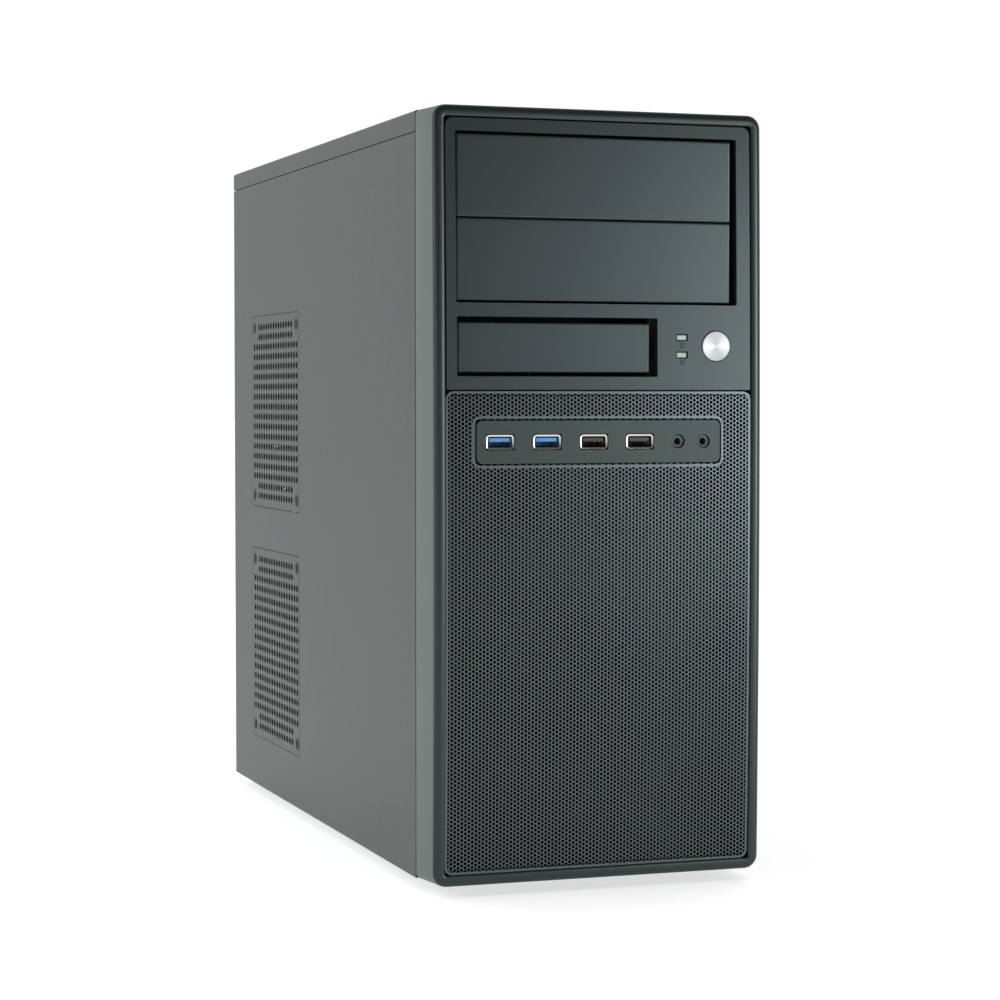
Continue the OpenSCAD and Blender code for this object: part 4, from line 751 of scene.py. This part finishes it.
class TOWER_OT_power_button(Operator):
    """Build the round power button"""

    bl_idname = "tower.power_button"
    bl_label = "Power Button"

    def execute(self, context):
        lo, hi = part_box("power_button")
        r = (hi.x - lo.x) / 2
        centre = ((lo.x + hi.x) / 2, lo.y, (lo.z + hi.z) / 2)
        deep = hi.y - lo.y
        outline = [(0, 0.1 * MM), (r * 0.5, 0.1 * MM), (r - 0.7 * MM, 0.1 * MM), (r - 0.55 * MM, 0),
                   (r - 0.3 * MM, 0), (r - 0.08 * MM, 0.12 * MM), (r, 0.4 * MM), (r, 8.4 * MM), (4 * MM, 8.4 * MM),
                   (4 * MM, deep), (0, deep)]
        piece = turned("power_button_cap", outline, centre, (0, 1, 0), 64)
        finish_piece(piece, "power_button", "spun_aluminium", ["power_button"], angle=20)
        return {"FINISHED"}


class TOWER_OT_mesh_grille(Operator):
    """Build the perforated front mesh"""

    bl_idname = "tower.mesh_grille"
    bl_label = "Mesh Grille"

    def tree(self):
        """Six-sided cells with a hole, staggered, left out round the port strip."""
        tree, given, out = geometry_tree("perforated_field", SHEET_INPUTS + [
            ("Gap Low", "NodeSocketVector"), ("Gap High", "NodeSocketVector")])
        g = given.outputs
        radius = add(tree, "ShaderNodeMath", {0: g["Pitch Z"], 1: 1 / math.sqrt(3)}, operation="MULTIPLY")
        hexagon = add(tree, "GeometryNodeMeshCircle", {"Vertices": 6, "Radius": radius}, fill_type="NGON")
        ring = add(tree, "GeometryNodeExtrudeMesh", {"Offset Scale": 0.0, "Individual": False, "Mesh": hexagon},
                   mode="FACES")
        shrunk = add(tree, "GeometryNodeScaleElements", {
            "Geometry": ring, "Selection": ring.outputs["Top"], "Scale": g["Hole"]})
        cell = add(tree, "GeometryNodeDeleteGeometry", {"Geometry": shrunk, "Selection": ring.outputs["Top"]},
                   domain="FACE")
        stand = add(tree, "GeometryNodeTransform", {"Rotation": (math.radians(-90), 0, 0), "Geometry": cell})
        points, column, row = grid_points(tree, g, 0.5)
        at, low, high = [add(tree, "ShaderNodeSeparateXYZ", {"Vector": source}) for source in (
            add(tree, "GeometryNodeInputPosition"), g["Gap Low"], g["Gap High"])]
        within = []
        for side in "XZ":
            over = add(tree, "ShaderNodeMath", {0: at.outputs[side], 1: low.outputs[side]}, operation="GREATER_THAN")
            under = add(tree, "ShaderNodeMath", {0: at.outputs[side], 1: high.outputs[side]}, operation="LESS_THAN")
            within.append(add(tree, "ShaderNodeMath", {0: over, 1: under}, operation="MULTIPLY"))
        gap = add(tree, "ShaderNodeMath", {0: within[0], 1: within[1]}, operation="MULTIPLY")
        kept = add(tree, "GeometryNodeDeleteGeometry", {"Geometry": points, "Selection": gap}, domain="POINT")
        sheet_from_cells(tree, kept, stand, g, out)
        return tree

    def execute(self, context):
        size = context.scene.tower_sizes
        pitch = size.mesh_pitch
        lo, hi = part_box("mesh_grille")
        p_lo, p_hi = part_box("port_panel")
        half = HALF_W - RIM - 0.4 * MM
        step = pitch * math.sqrt(3) / 2
        columns = int((2 * half - pitch) / step) + 1
        y = FRONT + 1.3 * MM
        low_z, high_z = lo.z + 0.3 * MM, hi.z - 0.3 * MM
        rows = int((high_z - low_z) / pitch - 0.5)
        start_z = low_z + (high_z - low_z - (rows - 0.5) * pitch) / 2
        edge = 1.2 * MM
        tree = self.tree()
        strips = 3
        share = -(-rows // strips)
        for k in range(strips):
            piece = grown(f"mesh_grille_{k + 1}", tree, {
                "Pitch X": step, "Pitch Z": pitch, "Hole": size.mesh_hole, "Columns": columns,
                "Rows": min(share, rows - k * share), "Thickness": 0.7 * MM, "Sag": size.front_sag,
                "Corner": (-(columns - 1) * step / 2, y, start_z + k * share * pitch),
                "Half Height": (TOP - BASE) / 2, "Middle": MID_Z, "Surface": bpy.data.materials["perforated_sheet"],
                "Gap Low": (PORT_MID - PORT_HALF - edge, 0, p_lo.z - edge),
                "Gap High": (PORT_MID + PORT_HALF + edge, 0, p_hi.z + edge)})
            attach(piece, "bezel")
            if k == 0:
                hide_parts("mesh_grille")
        border = loft("mesh_border", (-half, half), (lo.z, hi.z), 4.2 * MM,
                      [(0, y - 0.1 * MM), (edge, y - 0.1 * MM), (edge, y + 0.9 * MM), (0, y + 0.9 * MM)],
                      tall=20, side=1, sag=size.front_sag)
        finish_piece(border, "bezel", "perforated_sheet")
        hem = loft("mesh_port_hem", (PORT_MID - PORT_HALF - 2.2 * MM, PORT_MID + PORT_HALF + 2.2 * MM),
                   (p_lo.z - 2.2 * MM, p_hi.z + 2.2 * MM), 4.5 * MM,
                   [(0, y - 0.1 * MM), (edge, y - 0.1 * MM), (edge, y + 3 * MM), (0, y + 3 * MM)],
                   corner=6, sag=size.front_sag)
        finish_piece(hem, "bezel", "perforated_sheet")
        return {"FINISHED"}


class TOWER_OT_port_panel(Operator):
    """Build the port panel, its sockets and jacks"""

    bl_idname = "tower.port_panel"
    bl_label = "Ports"

    def execute(self, context):
        lo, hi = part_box("port_panel")
        mid_z = (lo.z + hi.z) / 2
        x = (PORT_MID - PORT_HALF, PORT_MID + PORT_HALF)
        s_lo, s_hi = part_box("usb_shells")
        flange = 14.5 * MM
        pitch = (s_hi.x - s_lo.x - flange) / 3
        centres = [s_lo.x + flange / 2 + pitch * i for i in range(4)]
        j_lo, j_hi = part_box("audio_jacks")
        jacks = [j_lo.x + 4.5 * MM, j_hi.x - 4.5 * MM]
        front = lo.y
        holes = [ring_points((c - 7.55 * MM, c + 7.55 * MM), (mid_z - 4.0 * MM, mid_z + 4.0 * MM), 0.4 * MM, corner=2)
                 for c in centres]
        holes += [[(c + 3.5 * MM * math.cos(a), mid_z + 3.5 * MM * math.sin(a))
                   for a in [2 * math.pi * i / 32 for i in range(32)]] for c in jacks]
        plate = panel_with_holes("port_strip", ring_points(x, (lo.z, hi.z), 3 * MM), holes, front, 2 * MM)
        bevel(plate, 0.4 * MM, 2)
        finish_piece(plate, "bezel", "moulded_abs_grey", ["port_panel"])
        skirt = loft("port_strip_skirt", x, (lo.z, hi.z), 3 * MM,
                     [(0.1 * MM, front + 1.6 * MM), (1.8 * MM, front + 1.6 * MM), (1.8 * MM, hi.y), (0.1 * MM, hi.y)])
        finish_piece(skirt, "bezel", "moulded_abs_grey")
        shells, blue, black, contacts = [], [], [], []
        for i, c in enumerate(centres):
            y0 = s_lo.y
            half, tall = 6.55 * MM, 2.9 * MM
            sheet = 0.35 * MM
            profile = [(-0.7 * MM, y0), (-0.55 * MM, y0), (0.1 * MM, y0 + 0.3 * MM), (sheet, y0 + 0.8 * MM),
                       (sheet, s_hi.y - 1 * MM), (0, s_hi.y - 1 * MM), (0, y0 + 0.7 * MM), (-0.7 * MM, y0 + 0.35 * MM)]
            shells.append(loft("shell", (c - half, c + half), (mid_z - tall, mid_z + tall), 0.9 * MM, profile, corner=3))
            tongue = [((c - 5.5 * MM, c + 5.5 * MM), (y0 + 1.2 * MM, s_hi.y - 1 * MM),
                       (mid_z + 0.2 * MM, mid_z + 2.1 * MM)),
                      ((c - 6.1 * MM, c + 6.1 * MM), (s_hi.y - 5 * MM, s_hi.y - 1.2 * MM),
                       (mid_z - 2.4 * MM, mid_z + 2.4 * MM))]
            (blue if i < 2 else black).append(blocks("tongue", tongue))
            strips = [c + (k - 1.5) * 2.4 * MM for k in range(4)]
            contacts.append(blocks("contacts", [
                ((strip - 0.5 * MM, strip + 0.5 * MM), (y0 + 2.2 * MM, y0 + 10 * MM),
                 (mid_z + 0.1 * MM, mid_z + 0.22 * MM)) for strip in strips]))
        finish_piece(joined("usb_socket_shells", shells), "chassis", "nickel_plate", ["usb_shells"])
        for hue, tongues in (("blue", blue), ("black", black)):
            pair = bevel(joined("usb_tongue_pair_" + hue, tongues), 0.2 * MM)
            finish_piece(pair, "chassis", hue + "_nylon", ["usb_tongues_" + hue])
        finish_piece(joined("usb_contacts", contacts), "chassis", "turned_brass")
        bodies = []
        for c in jacks:
            ring = 3.2 * MM
            bore = 1.8 * MM
            bodies.append(turned("jack", [(bore, 14 * MM), (bore, 0.4 * MM), (bore + 0.3 * MM, 0.1 * MM),
                                          (bore + 0.6 * MM, 0.0), (ring - 0.4 * MM, 0.0), (ring, 0.4 * MM),
                                          (ring, 8 * MM), (4.2 * MM, 8 * MM), (4.2 * MM, j_hi.y - j_lo.y),
                                          (0, j_hi.y - j_lo.y), (0, 14 * MM), (bore, 14 * MM)],
                                 (c, j_lo.y, mid_z), (0, 1, 0), 36))
        finish_piece(joined("audio_jack_pair", bodies), "chassis", "moulded_abs_lit_band",
                     ["audio_jacks"])
        return {"FINISHED"}


# ---- case shell ----

class TOWER_OT_top_cover(Operator):
    """Build the top cover with its folded edges"""

    bl_idname = "tower.top_cover"
    bl_label = "Top Cover"

    def execute(self, context):
        lo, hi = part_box("top_cover")
        bend = 1.6 * MM
        sheet = 0.8 * MM
        outer, inner = [], []
        for side in (-1, 1):
            steps = [math.radians(90 * i / 5) for i in range(6)]
            arc = [(side * (hi.x - bend + bend * math.sin(a)), hi.z - bend + bend * math.cos(a)) for a in steps]
            core = [(side * (hi.x - bend + (bend - sheet) * math.sin(a)), hi.z - bend + (bend - sheet) * math.cos(a))
                    for a in steps]
            if side < 0:
                outer += [(-hi.x, lo.z)] + arc[::-1]
                inner += [(-hi.x + sheet, lo.z)] + core[::-1]
            else:
                outer += arc + [(hi.x, lo.z)]
                inner += core + [(hi.x - sheet, lo.z)]
        section = outer + inner[::-1]
        bm = bmesh.new()
        rings = [[bm.verts.new((px, y, pz)) for px, pz in section] for y in (lo.y, hi.y)]
        n = len(section)
        for i in range(n):
            bm.faces.new((rings[0][i], rings[0][(i + 1) % n], rings[1][(i + 1) % n], rings[1][i]))
        half = len(outer)
        for ring in rings:
            for i in range(half - 1):
                bm.faces.new((ring[i], ring[i + 1], ring[n - 2 - i], ring[n - 1 - i]))
        piece = object_from("top_cover_sheet", bm)
        finish_piece(piece, "chassis", "powder_coat", ["top_cover"], angle=40)
        return {"FINISHED"}


class TOWER_OT_side_panels(Operator):
    """Build the side panels, the left one with its two vent fields"""

    bl_idname = "tower.side_panels"
    bl_label = "Side Panels"

    def execute(self, context):
        size = context.scene.tower_sizes
        sheet = 0.8 * MM
        for side, body in ((-1, "left_panel"), (1, "right_panel")):
            lo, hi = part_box(body)
            outer = side * HALF_W
            fields = self.fields(size) if side < 0 else []
            holes = [ring_points(*field["border"], 2 * MM, corner=4) for field in fields]
            outline = [(lo.y, lo.z), (hi.y, lo.z), (hi.y, hi.z), (lo.y, hi.z)]
            flat = to_side(panel_with_holes("skin", outline, holes, 0, sheet), outer, side)

            def across(a, b):
                """The x range from a to b inside the panel's face."""
                ends = (outer - side * a, outer - side * b)
                return min(ends), max(ends)

            folds = blocks("folds", [
                (across(0.1 * MM, 8 * MM), (lo.y, hi.y - 2 * MM), (hi.z - sheet, hi.z)),
                (across(0.1 * MM, 8 * MM), (lo.y, hi.y - 2 * MM), (lo.z, lo.z + sheet)),
                (across(0.1 * MM, 13 * MM), (hi.y - sheet, hi.y), (lo.z + 4 * MM, hi.z - 4 * MM)),
                (across(1.0 * MM, 1.6 * MM), (lo.y, hi.y - 2 * MM), (hi.z - sheet, hi.z + 3 * MM)),
                (across(sheet, 1.6 * MM), (lo.y, lo.y + 6 * MM), (lo.z, hi.z))])
            piece = bevel(joined(body + "_sheet", [flat, folds]), 0.35 * MM, 2)
            finish_piece(piece, body, "powder_coat", [body])
            if fields:
                self.vents(size, fields, outer)
        return {"FINISHED"}

    def fields(self, size):
        """The two vent fields: first hole's centre, the land round the holes and the four fan screw places."""
        span = (size.vent_count - 1) * size.vent_pitch
        land, front_land, field_reach = 7 * MM, 5 * MM, 168.4 * MM
        low_field, high_field = BASE + 38.2 * MM, TOP - 206.4 * MM
        first_y = REAR - field_reach + land
        out = []
        for first_z in (low_field, high_field):
            y, z = (first_y, first_y + span), (first_z, first_z + span)
            middle = ((y[0] + y[1]) / 2, (z[0] + z[1]) / 2)
            reach = 52.5 * MM
            out.append({"y": y, "z": z, "border": ((y[0] - front_land, y[1] + land), (z[0] - land, z[1] + land)),
                        "screws": [(middle[0] + a * reach, middle[1] + b * reach) for a in (-1, 1) for b in (-1, 1)]})
        return out

    def cell_tree(self):
        """Square cells with a round hole, none in the field's four corners."""
        tree, given, out = geometry_tree("vent_field", SHEET_INPUTS + [("Cut", "NodeSocketInt")])
        g = given.outputs
        circle = add(tree, "GeometryNodeMeshCircle", {"Vertices": 16, "Radius": g["Hole"]})
        grown_out = add(tree, "GeometryNodeExtrudeMesh", {"Offset Scale": 0.0, "Mesh": circle}, mode="EDGES")
        part = add(tree, "ShaderNodeSeparateXYZ", {"Vector": add(tree, "GeometryNodeInputPosition")})
        sizes = [add(tree, "ShaderNodeMath", {0: part.outputs[side]}, operation="ABSOLUTE") for side in "XY"]
        far = add(tree, "ShaderNodeMath", {0: sizes[0], 1: sizes[1]}, operation="MAXIMUM")
        corner = {}
        for side, pitch in (("X", g["Pitch X"]), ("Y", g["Pitch Z"])):
            unit = add(tree, "ShaderNodeMath", {0: part.outputs[side], 1: far}, operation="DIVIDE")
            half = add(tree, "ShaderNodeMath", {0: pitch, 1: 0.5}, operation="MULTIPLY")
            corner[side] = add(tree, "ShaderNodeMath", {0: unit, 1: half}, operation="MULTIPLY")
        square = add(tree, "ShaderNodeCombineXYZ", corner)
        cell = add(tree, "GeometryNodeSetPosition", {
            "Geometry": grown_out, "Selection": grown_out.outputs["Top"], "Position": square})
        stand = add(tree, "GeometryNodeTransform", {"Rotation": (math.radians(-90), 0, 0), "Geometry": cell})
        points, column, row = grid_points(tree, g, 0.0)
        outside = []
        for place, count in ((column, g["Columns"]), (row, g["Rows"])):
            last = add(tree, "ShaderNodeMath", {0: count, 1: 1.0}, operation="SUBTRACT")
            limit = add(tree, "ShaderNodeMath", {0: last, 1: g["Cut"]}, operation="SUBTRACT")
            low = add(tree, "ShaderNodeMath", {0: place, 1: g["Cut"]}, operation="LESS_THAN")
            high = add(tree, "ShaderNodeMath", {0: place, 1: limit}, operation="GREATER_THAN")
            outside.append(add(tree, "ShaderNodeMath", {0: low, 1: high}, operation="MAXIMUM"))
        corners = add(tree, "ShaderNodeMath", {0: outside[0], 1: outside[1]}, operation="MULTIPLY")
        kept = add(tree, "GeometryNodeDeleteGeometry", {"Geometry": points, "Selection": corners}, domain="POINT")
        sheet_from_cells(tree, kept, stand, g, out)
        return tree

    def vents(self, size, fields, outer):
        """The perforated fields, the land round each and its countersunk screw places."""
        tree = self.cell_tree()
        pitch, cut, sheet = size.vent_pitch, 2, 0.8 * MM
        for k, field in enumerate(fields):
            (y0, y1), (z0, z1) = field["y"], field["z"]
            sheet_piece = grown(f"vent_field_{k + 1}", tree, {
                "Pitch X": pitch, "Pitch Z": pitch, "Hole": size.vent_hole / 2, "Columns": size.vent_count,
                "Rows": size.vent_count, "Thickness": sheet, "Sag": 0.0, "Half Height": 1.0, "Middle": 0.0,
                "Corner": (y0, 0, z0), "Cut": cut, "Surface": bpy.data.materials["powder_coat"]})
            finish_piece(to_side(sheet_piece, outer, -1), "left_panel", "powder_coat")
            b, c = pitch / 2, cut * pitch
            plus = [(y0 - b + c, z0 - b), (y1 + b - c, z0 - b), (y1 + b - c, z0 - b + c), (y1 + b, z0 - b + c),
                    (y1 + b, z1 + b - c), (y1 + b - c, z1 + b - c), (y1 + b - c, z1 + b), (y0 - b + c, z1 + b),
                    (y0 - b + c, z1 + b - c), (y0 - b, z1 + b - c), (y0 - b, z0 - b + c), (y0 - b + c, z0 - b + c)]
            sink, steps = 3.9 * MM, 24
            angles = [2 * math.pi * i / steps for i in range(steps)]
            round_holes = [[(y + sink * math.cos(a), z + sink * math.sin(a)) for a in angles]
                           for y, z in field["screws"]]
            gap = 0.25 * MM
            (ly, hy), (lz, hz) = field["border"]
            land = panel_with_holes("land", ring_points((ly + gap, hy - gap), (lz + gap, hz - gap), 1.8 * MM,
                                                        corner=4), [plus] + round_holes, 0, sheet)
            finish_piece(to_side(land, outer, -1), "left_panel", "powder_coat")
            land.name = f"vent_land_{k + 1}"
            dish = [(sink, 0), (2.2 * MM, 1.5 * MM), (2.2 * MM, 1.8 * MM), (sink + 0.3 * MM, 1.0 * MM),
                    (sink + 0.3 * MM, 0.1 * MM), (sink, 0)]
            dishes = [turned("dish", dish, (outer, y, z), (1, 0, 0), steps) for y, z in field["screws"]]
            finish_piece(joined(f"vent_dimples_{k + 1}", dishes), "left_panel", "powder_coat")


# ---- small hardware ----

class TOWER_OT_thumb_screws(Operator):
    """Build the four knurled thumb screws"""

    bl_idname = "tower.thumb_screws"
    bl_label = "Thumb Screws"

    def execute(self, context):
        for node in [n for n in frame["nodes"] if n.startswith("thumb_screw_")]:
            lo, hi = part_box(node)
            r = (hi.x - lo.x) / 2
            centre = Vector(((lo.x + hi.x) / 2, hi.y, (lo.z + hi.z) / 2))
            head, long = 6.4 * MM, hi.y - lo.y
            outline = [(0, 0.5 * MM), (r * 0.42, 0.5 * MM), (r * 0.5, 0), (r * 0.86, 0), (r * 0.93, 0.4 * MM),
                       (r * 0.93, head - 0.4 * MM), (r * 0.86, head), (r * 0.5, head), (r * 0.34, head + 0.6 * MM),
                       (r * 0.34, long - 0.5 * MM), (r * 0.26, long), (0, long)]
            core = turned(node + "_core", outline, centre, (0, -1, 0), 40)
            finish_piece(core, node, "black_zinc", [node])
            rib = seed_of(blocks("rib", [((r * 0.9, r * 0.995), (-0.16 * MM, 0.16 * MM), (0.5 * MM, head - 0.5 * MM))]))
            ribs = round_array(node + "_knurl", rib, 36, centre, (0, -1, 0), "black_zinc")
            finish_piece(ribs, node, "black_zinc")
        return {"FINISHED"}


class TOWER_OT_feet(Operator):
    """Build the rubber feet"""

    bl_idname = "tower.feet"
    bl_label = "Feet"

    def execute(self, context):
        parts = []
        for lo, hi in islands("feet"):
            r, tall = (hi.x - lo.x) / 2, hi.z - lo.z
            parts.append(turned("foot", [(0, 0.8 * MM), (r * 0.35, 0.8 * MM), (r * 0.4, 0), (r * 0.8, 0),
                                         (r * 0.9, 0.3 * MM), (r * 0.95, 0.9 * MM), (r, tall - 0.3 * MM), (r, tall),
                                         (0, tall)], ((lo.x + hi.x) / 2, (lo.y + hi.y) / 2, lo.z), (0, 0, 1), 40))
        finish_piece(joined("rubber_feet", parts), "chassis", "soft_rubber", ["feet"])
        return {"FINISHED"}


def blade(hub, tip, depth, sweep, width):
    """One swept, twisted fan blade about +Z, thicker at its root, as a mesh."""
    bm = bmesh.new()
    spans, chords = 9, 6
    loops = []
    for i in range(spans + 1):
        t = i / spans
        radius = hub + (tip - hub) * t
        lean = depth * (0.46 - 0.14 * t)
        thick = (1.1 - 0.5 * t) * MM
        front, back = [], []
        for k in range(chords + 1):
            s = k / chords - 0.5
            angle = sweep * t * t + width * s
            belly = 0.12 * depth * (1 - 4 * s * s)
            edge = thick / 2 * math.sqrt(max(0.05, 1 - 4 * s * s))
            x, y, z = radius * math.cos(angle), radius * math.sin(angle), 2 * s * lean + belly
            front.append(bm.verts.new((x, y, z + edge)))
            back.append(bm.verts.new((x, y, z - edge)))
        loops.append(front + back[::-1])
    for a, b in zip(loops, loops[1:]):
        for k in range(len(a)):
            j = (k + 1) % len(a)
            bm.faces.new((a[k], a[j], b[j], b[k]))
    bm.faces.new(loops[0])
    bm.faces.new(loops[-1][::-1])
    piece = object_from("blade", bm)
    shade(piece)
    return seed_of(piece)


class TOWER_OT_fans(Operator):
    """Build the three fan rotors with their curved blades"""

    bl_idname = "tower.fans"
    bl_label = "Fans"

    def execute(self, context):
        for node, count, axis in (("rear_fan_rotor", 7, (0, 1, 0)), ("psu_fan_rotor", 9, (0, 1, 0)),
                                  ("cpu_fan_rotor", 7, (1, 0, 0))):
            lo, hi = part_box(node)
            along = 1 if axis[1] else 0
            across = 2
            tip = (hi[across] - lo[across]) / 2 - 0.4 * MM
            hub = tip * 0.4
            deep = hi[along] - lo[along]
            centre = (lo + hi) / 2
            seed = blade(hub * 0.96, tip, deep * 0.86, 0.5, 1.75 * math.pi / count)
            blades = round_array(node + "_blades", seed, count, centre, axis, "glass_filled_fan")
            finish_piece(blades, node, "glass_filled_fan")
            start = centre.copy()
            start[along] = lo[along]
            cap = turned(node + "_hub", [(0, 0.3 * MM), (hub * 0.6, 0.3 * MM), (hub * 0.62, 0), (hub * 0.9, 0),
                                         (hub, 1.2 * MM), (hub, deep - 1.2 * MM), (hub * 0.9, deep), (0, deep)],
                         start, axis, 48)
            finish_piece(cap, node, "glass_filled_fan", [node])
        return {"FINISHED"}


SLOT_SURFACES = {
    "zinc_steel": "zinc_sheet", "painted_steel": "powder_coat", "front_plastic": "moulded_abs",
    "mesh_steel": "perforated_sheet", "panel_plastic": "moulded_abs_grey", "nickel": "nickel_plate",
    "blue_plastic": "blue_nylon", "black_plastic": "black_nylon", "cream_plastic": "cream_nylon",
    "lens_plastic": "milky_acrylic", "button_metal": "spun_aluminium", "rubber": "soft_rubber",
    "green_board": "solder_mask", "alloy": "extruded_aluminium", "cast_alloy": "die_cast_aluminium",
    "brass": "turned_brass", "fan_plastic": "glass_filled_fan", "cable_black": "braided_sleeve",
    "cable_red": "pvc_red", "screw_steel": "zinc_screw", "dark_steel": "black_zinc",
}
# the front plate and the cages get black paint made darker and duller than paint, as painted shade inside the case
OWN_SURFACES = {"front_plate": "black_paint_and_shade", "bay_cage": "black_paint_and_shade", "drive_cage": "black_paint_and_shade"}


class TOWER_OT_carried_over(Operator):
    """Give every solid that is still shown its finish"""

    bl_idname = "tower.carried_over"
    bl_label = "Inner Parts"

    def execute(self, context):
        slots = {part["node"]: part["material_slot"] for part in frame["record"]["subparts"]}
        for node, piece in frame["nodes"].items():
            if piece.hide_render:
                continue
            surface = OWN_SURFACES.get(node) or SLOT_SURFACES[slots[node]]
            piece.data.materials.clear()
            piece.data.materials.append(bpy.data.materials[surface])
        return {"FINISHED"}


# the camera: film width (mm), focal length as a share of it, and where it looks (degrees)
SENSOR_WIDTH = 36
LENS_SHARE = 2.6047
CAMERA_YAW = 18.906
CAMERA_PITCH = -2.222


class TOWER_OT_stage(Operator):
    """Set the floor, lights and camera"""

    bl_idname = "tower.stage"
    bl_label = "Stage"

    def execute(self, context):
        scene = context.scene
        mesh = bpy.data.meshes.new("floor")
        far = 30
        mesh.from_pydata([(-far, -far, 0), (far, -far, 0), (far, far, 0), (-far, far, 0)], [], [(0, 1, 2, 3)])
        floor = bpy.data.objects.new("floor", mesh)
        scene.collection.objects.link(floor)
        tree, shader, where = grained("floor_paint", "#f4f4f4", 0.8, grain=3, depth=0.01, spread=0.0)
        shader.inputs["Emission Color"].default_value = (1, 1, 1, 1)
        shader.inputs["Emission Strength"].default_value = 0.55
        floor.data.materials.append(bpy.data.materials["floor_paint"])
        world = bpy.data.worlds.new("studio")
        world.use_nodes = True
        sky = world.node_tree
        # a bright backdrop behind the case that dims towards the front
        heading = add(sky, "ShaderNodeSeparateXYZ", {"Vector": add(sky, "ShaderNodeTexCoord").outputs["Generated"]})
        glow = add(sky, "ShaderNodeMapRange", {
            "From Min": -0.6, "From Max": 0.5, "To Min": 0.13, "To Max": 1.05, "Value": heading.outputs["Y"]},
            interpolation_type="SMOOTHSTEP")
        sky.nodes["Background"].inputs["Color"].default_value = (1, 1, 1, 1)
        sky.links.new(glow.outputs["Result"], sky.nodes["Background"].inputs["Strength"])
        scene.world = world
        centre = Vector((0, 0, MID_Z))
        for name, place, size, power in (("side", (-2.2, -0.6, 1.2), (1.6, 1.6), 19),
                                         ("front_right", (1.25, -1.8, 0.33), (0.8, 0.5), 16)):
            light = bpy.data.lights.new(name, "AREA")
            light.shape = "RECTANGLE"
            light.size, light.size_y = size
            light.energy = power
            lamp = bpy.data.objects.new(name, light)
            lamp.location = place
            lamp.rotation_mode = "QUATERNION"
            lamp.rotation_quaternion = (centre - Vector(place)).to_track_quat("-Z", "Y")
            scene.collection.objects.link(lamp)
        camera = bpy.data.cameras.new("camera")
        camera.sensor_width = SENSOR_WIDTH
        camera.lens = SENSOR_WIDTH * LENS_SHARE
        eye = bpy.data.objects.new("camera", camera)
        yaw, pitch = math.radians(CAMERA_YAW), math.radians(CAMERA_PITCH)
        ahead = Vector((math.sin(yaw) * math.cos(pitch), math.cos(yaw) * math.cos(pitch), math.sin(pitch)))
        eye.location = (-475.6 * MM, COVERS - 1234.4 * MM, BASE + 244.2 * MM)
        eye.rotation_mode = "QUATERNION"
        eye.rotation_quaternion = ahead.to_track_quat("-Z", "Y")
        scene.collection.objects.link(eye)
        scene.camera = eye
        scene.view_settings.view_transform = "Standard"
        return {"FINISHED"}


class TOWER_PT_panel(Panel):
    """Lists the tower's pieces"""

    bl_idname = "TOWER_PT_panel"
    bl_label = "Desktop Tower"
    bl_space_type = "VIEW_3D"
    bl_region_type = "UI"
    bl_category = "Tower"

    def draw(self, context):
        """Shows the sizes, the colours and a button for each piece."""
        for group in (context.scene.tower_looks, context.scene.tower_sizes):
            for name in group.__annotations__:
                self.layout.prop(group, name)
        for step in STEPS:
            self.layout.operator(step.bl_idname)


STEPS = (TOWER_OT_finishes, TOWER_OT_front_frame, TOWER_OT_front_face, TOWER_OT_lights, TOWER_OT_bay_covers,
         TOWER_OT_power_button, TOWER_OT_mesh_grille, TOWER_OT_port_panel, TOWER_OT_top_cover,
         TOWER_OT_side_panels, TOWER_OT_thumb_screws, TOWER_OT_feet, TOWER_OT_fans, TOWER_OT_carried_over,
         TOWER_OT_stage)
CLASSES = (TowerLooks, TowerSizes, TOWER_PT_panel) + STEPS


def register():
    """Adds the classes and their settings to Blender."""
    for cls in CLASSES:
        bpy.utils.register_class(cls)
    bpy.types.Scene.tower_looks = PointerProperty(type=TowerLooks)
    bpy.types.Scene.tower_sizes = PointerProperty(type=TowerSizes)


def unregister():
    """Takes them out again."""
    del bpy.types.Scene.tower_looks
    del bpy.types.Scene.tower_sizes
    for cls in reversed(CLASSES):
        bpy.utils.unregister_class(cls)


def main():
    """Builds the whole tower."""
    register()
    for step in STEPS:
        group, name = step.bl_idname.split(".")
        getattr(getattr(bpy.ops, group), name)()


if __name__ == "__main__":
    main()
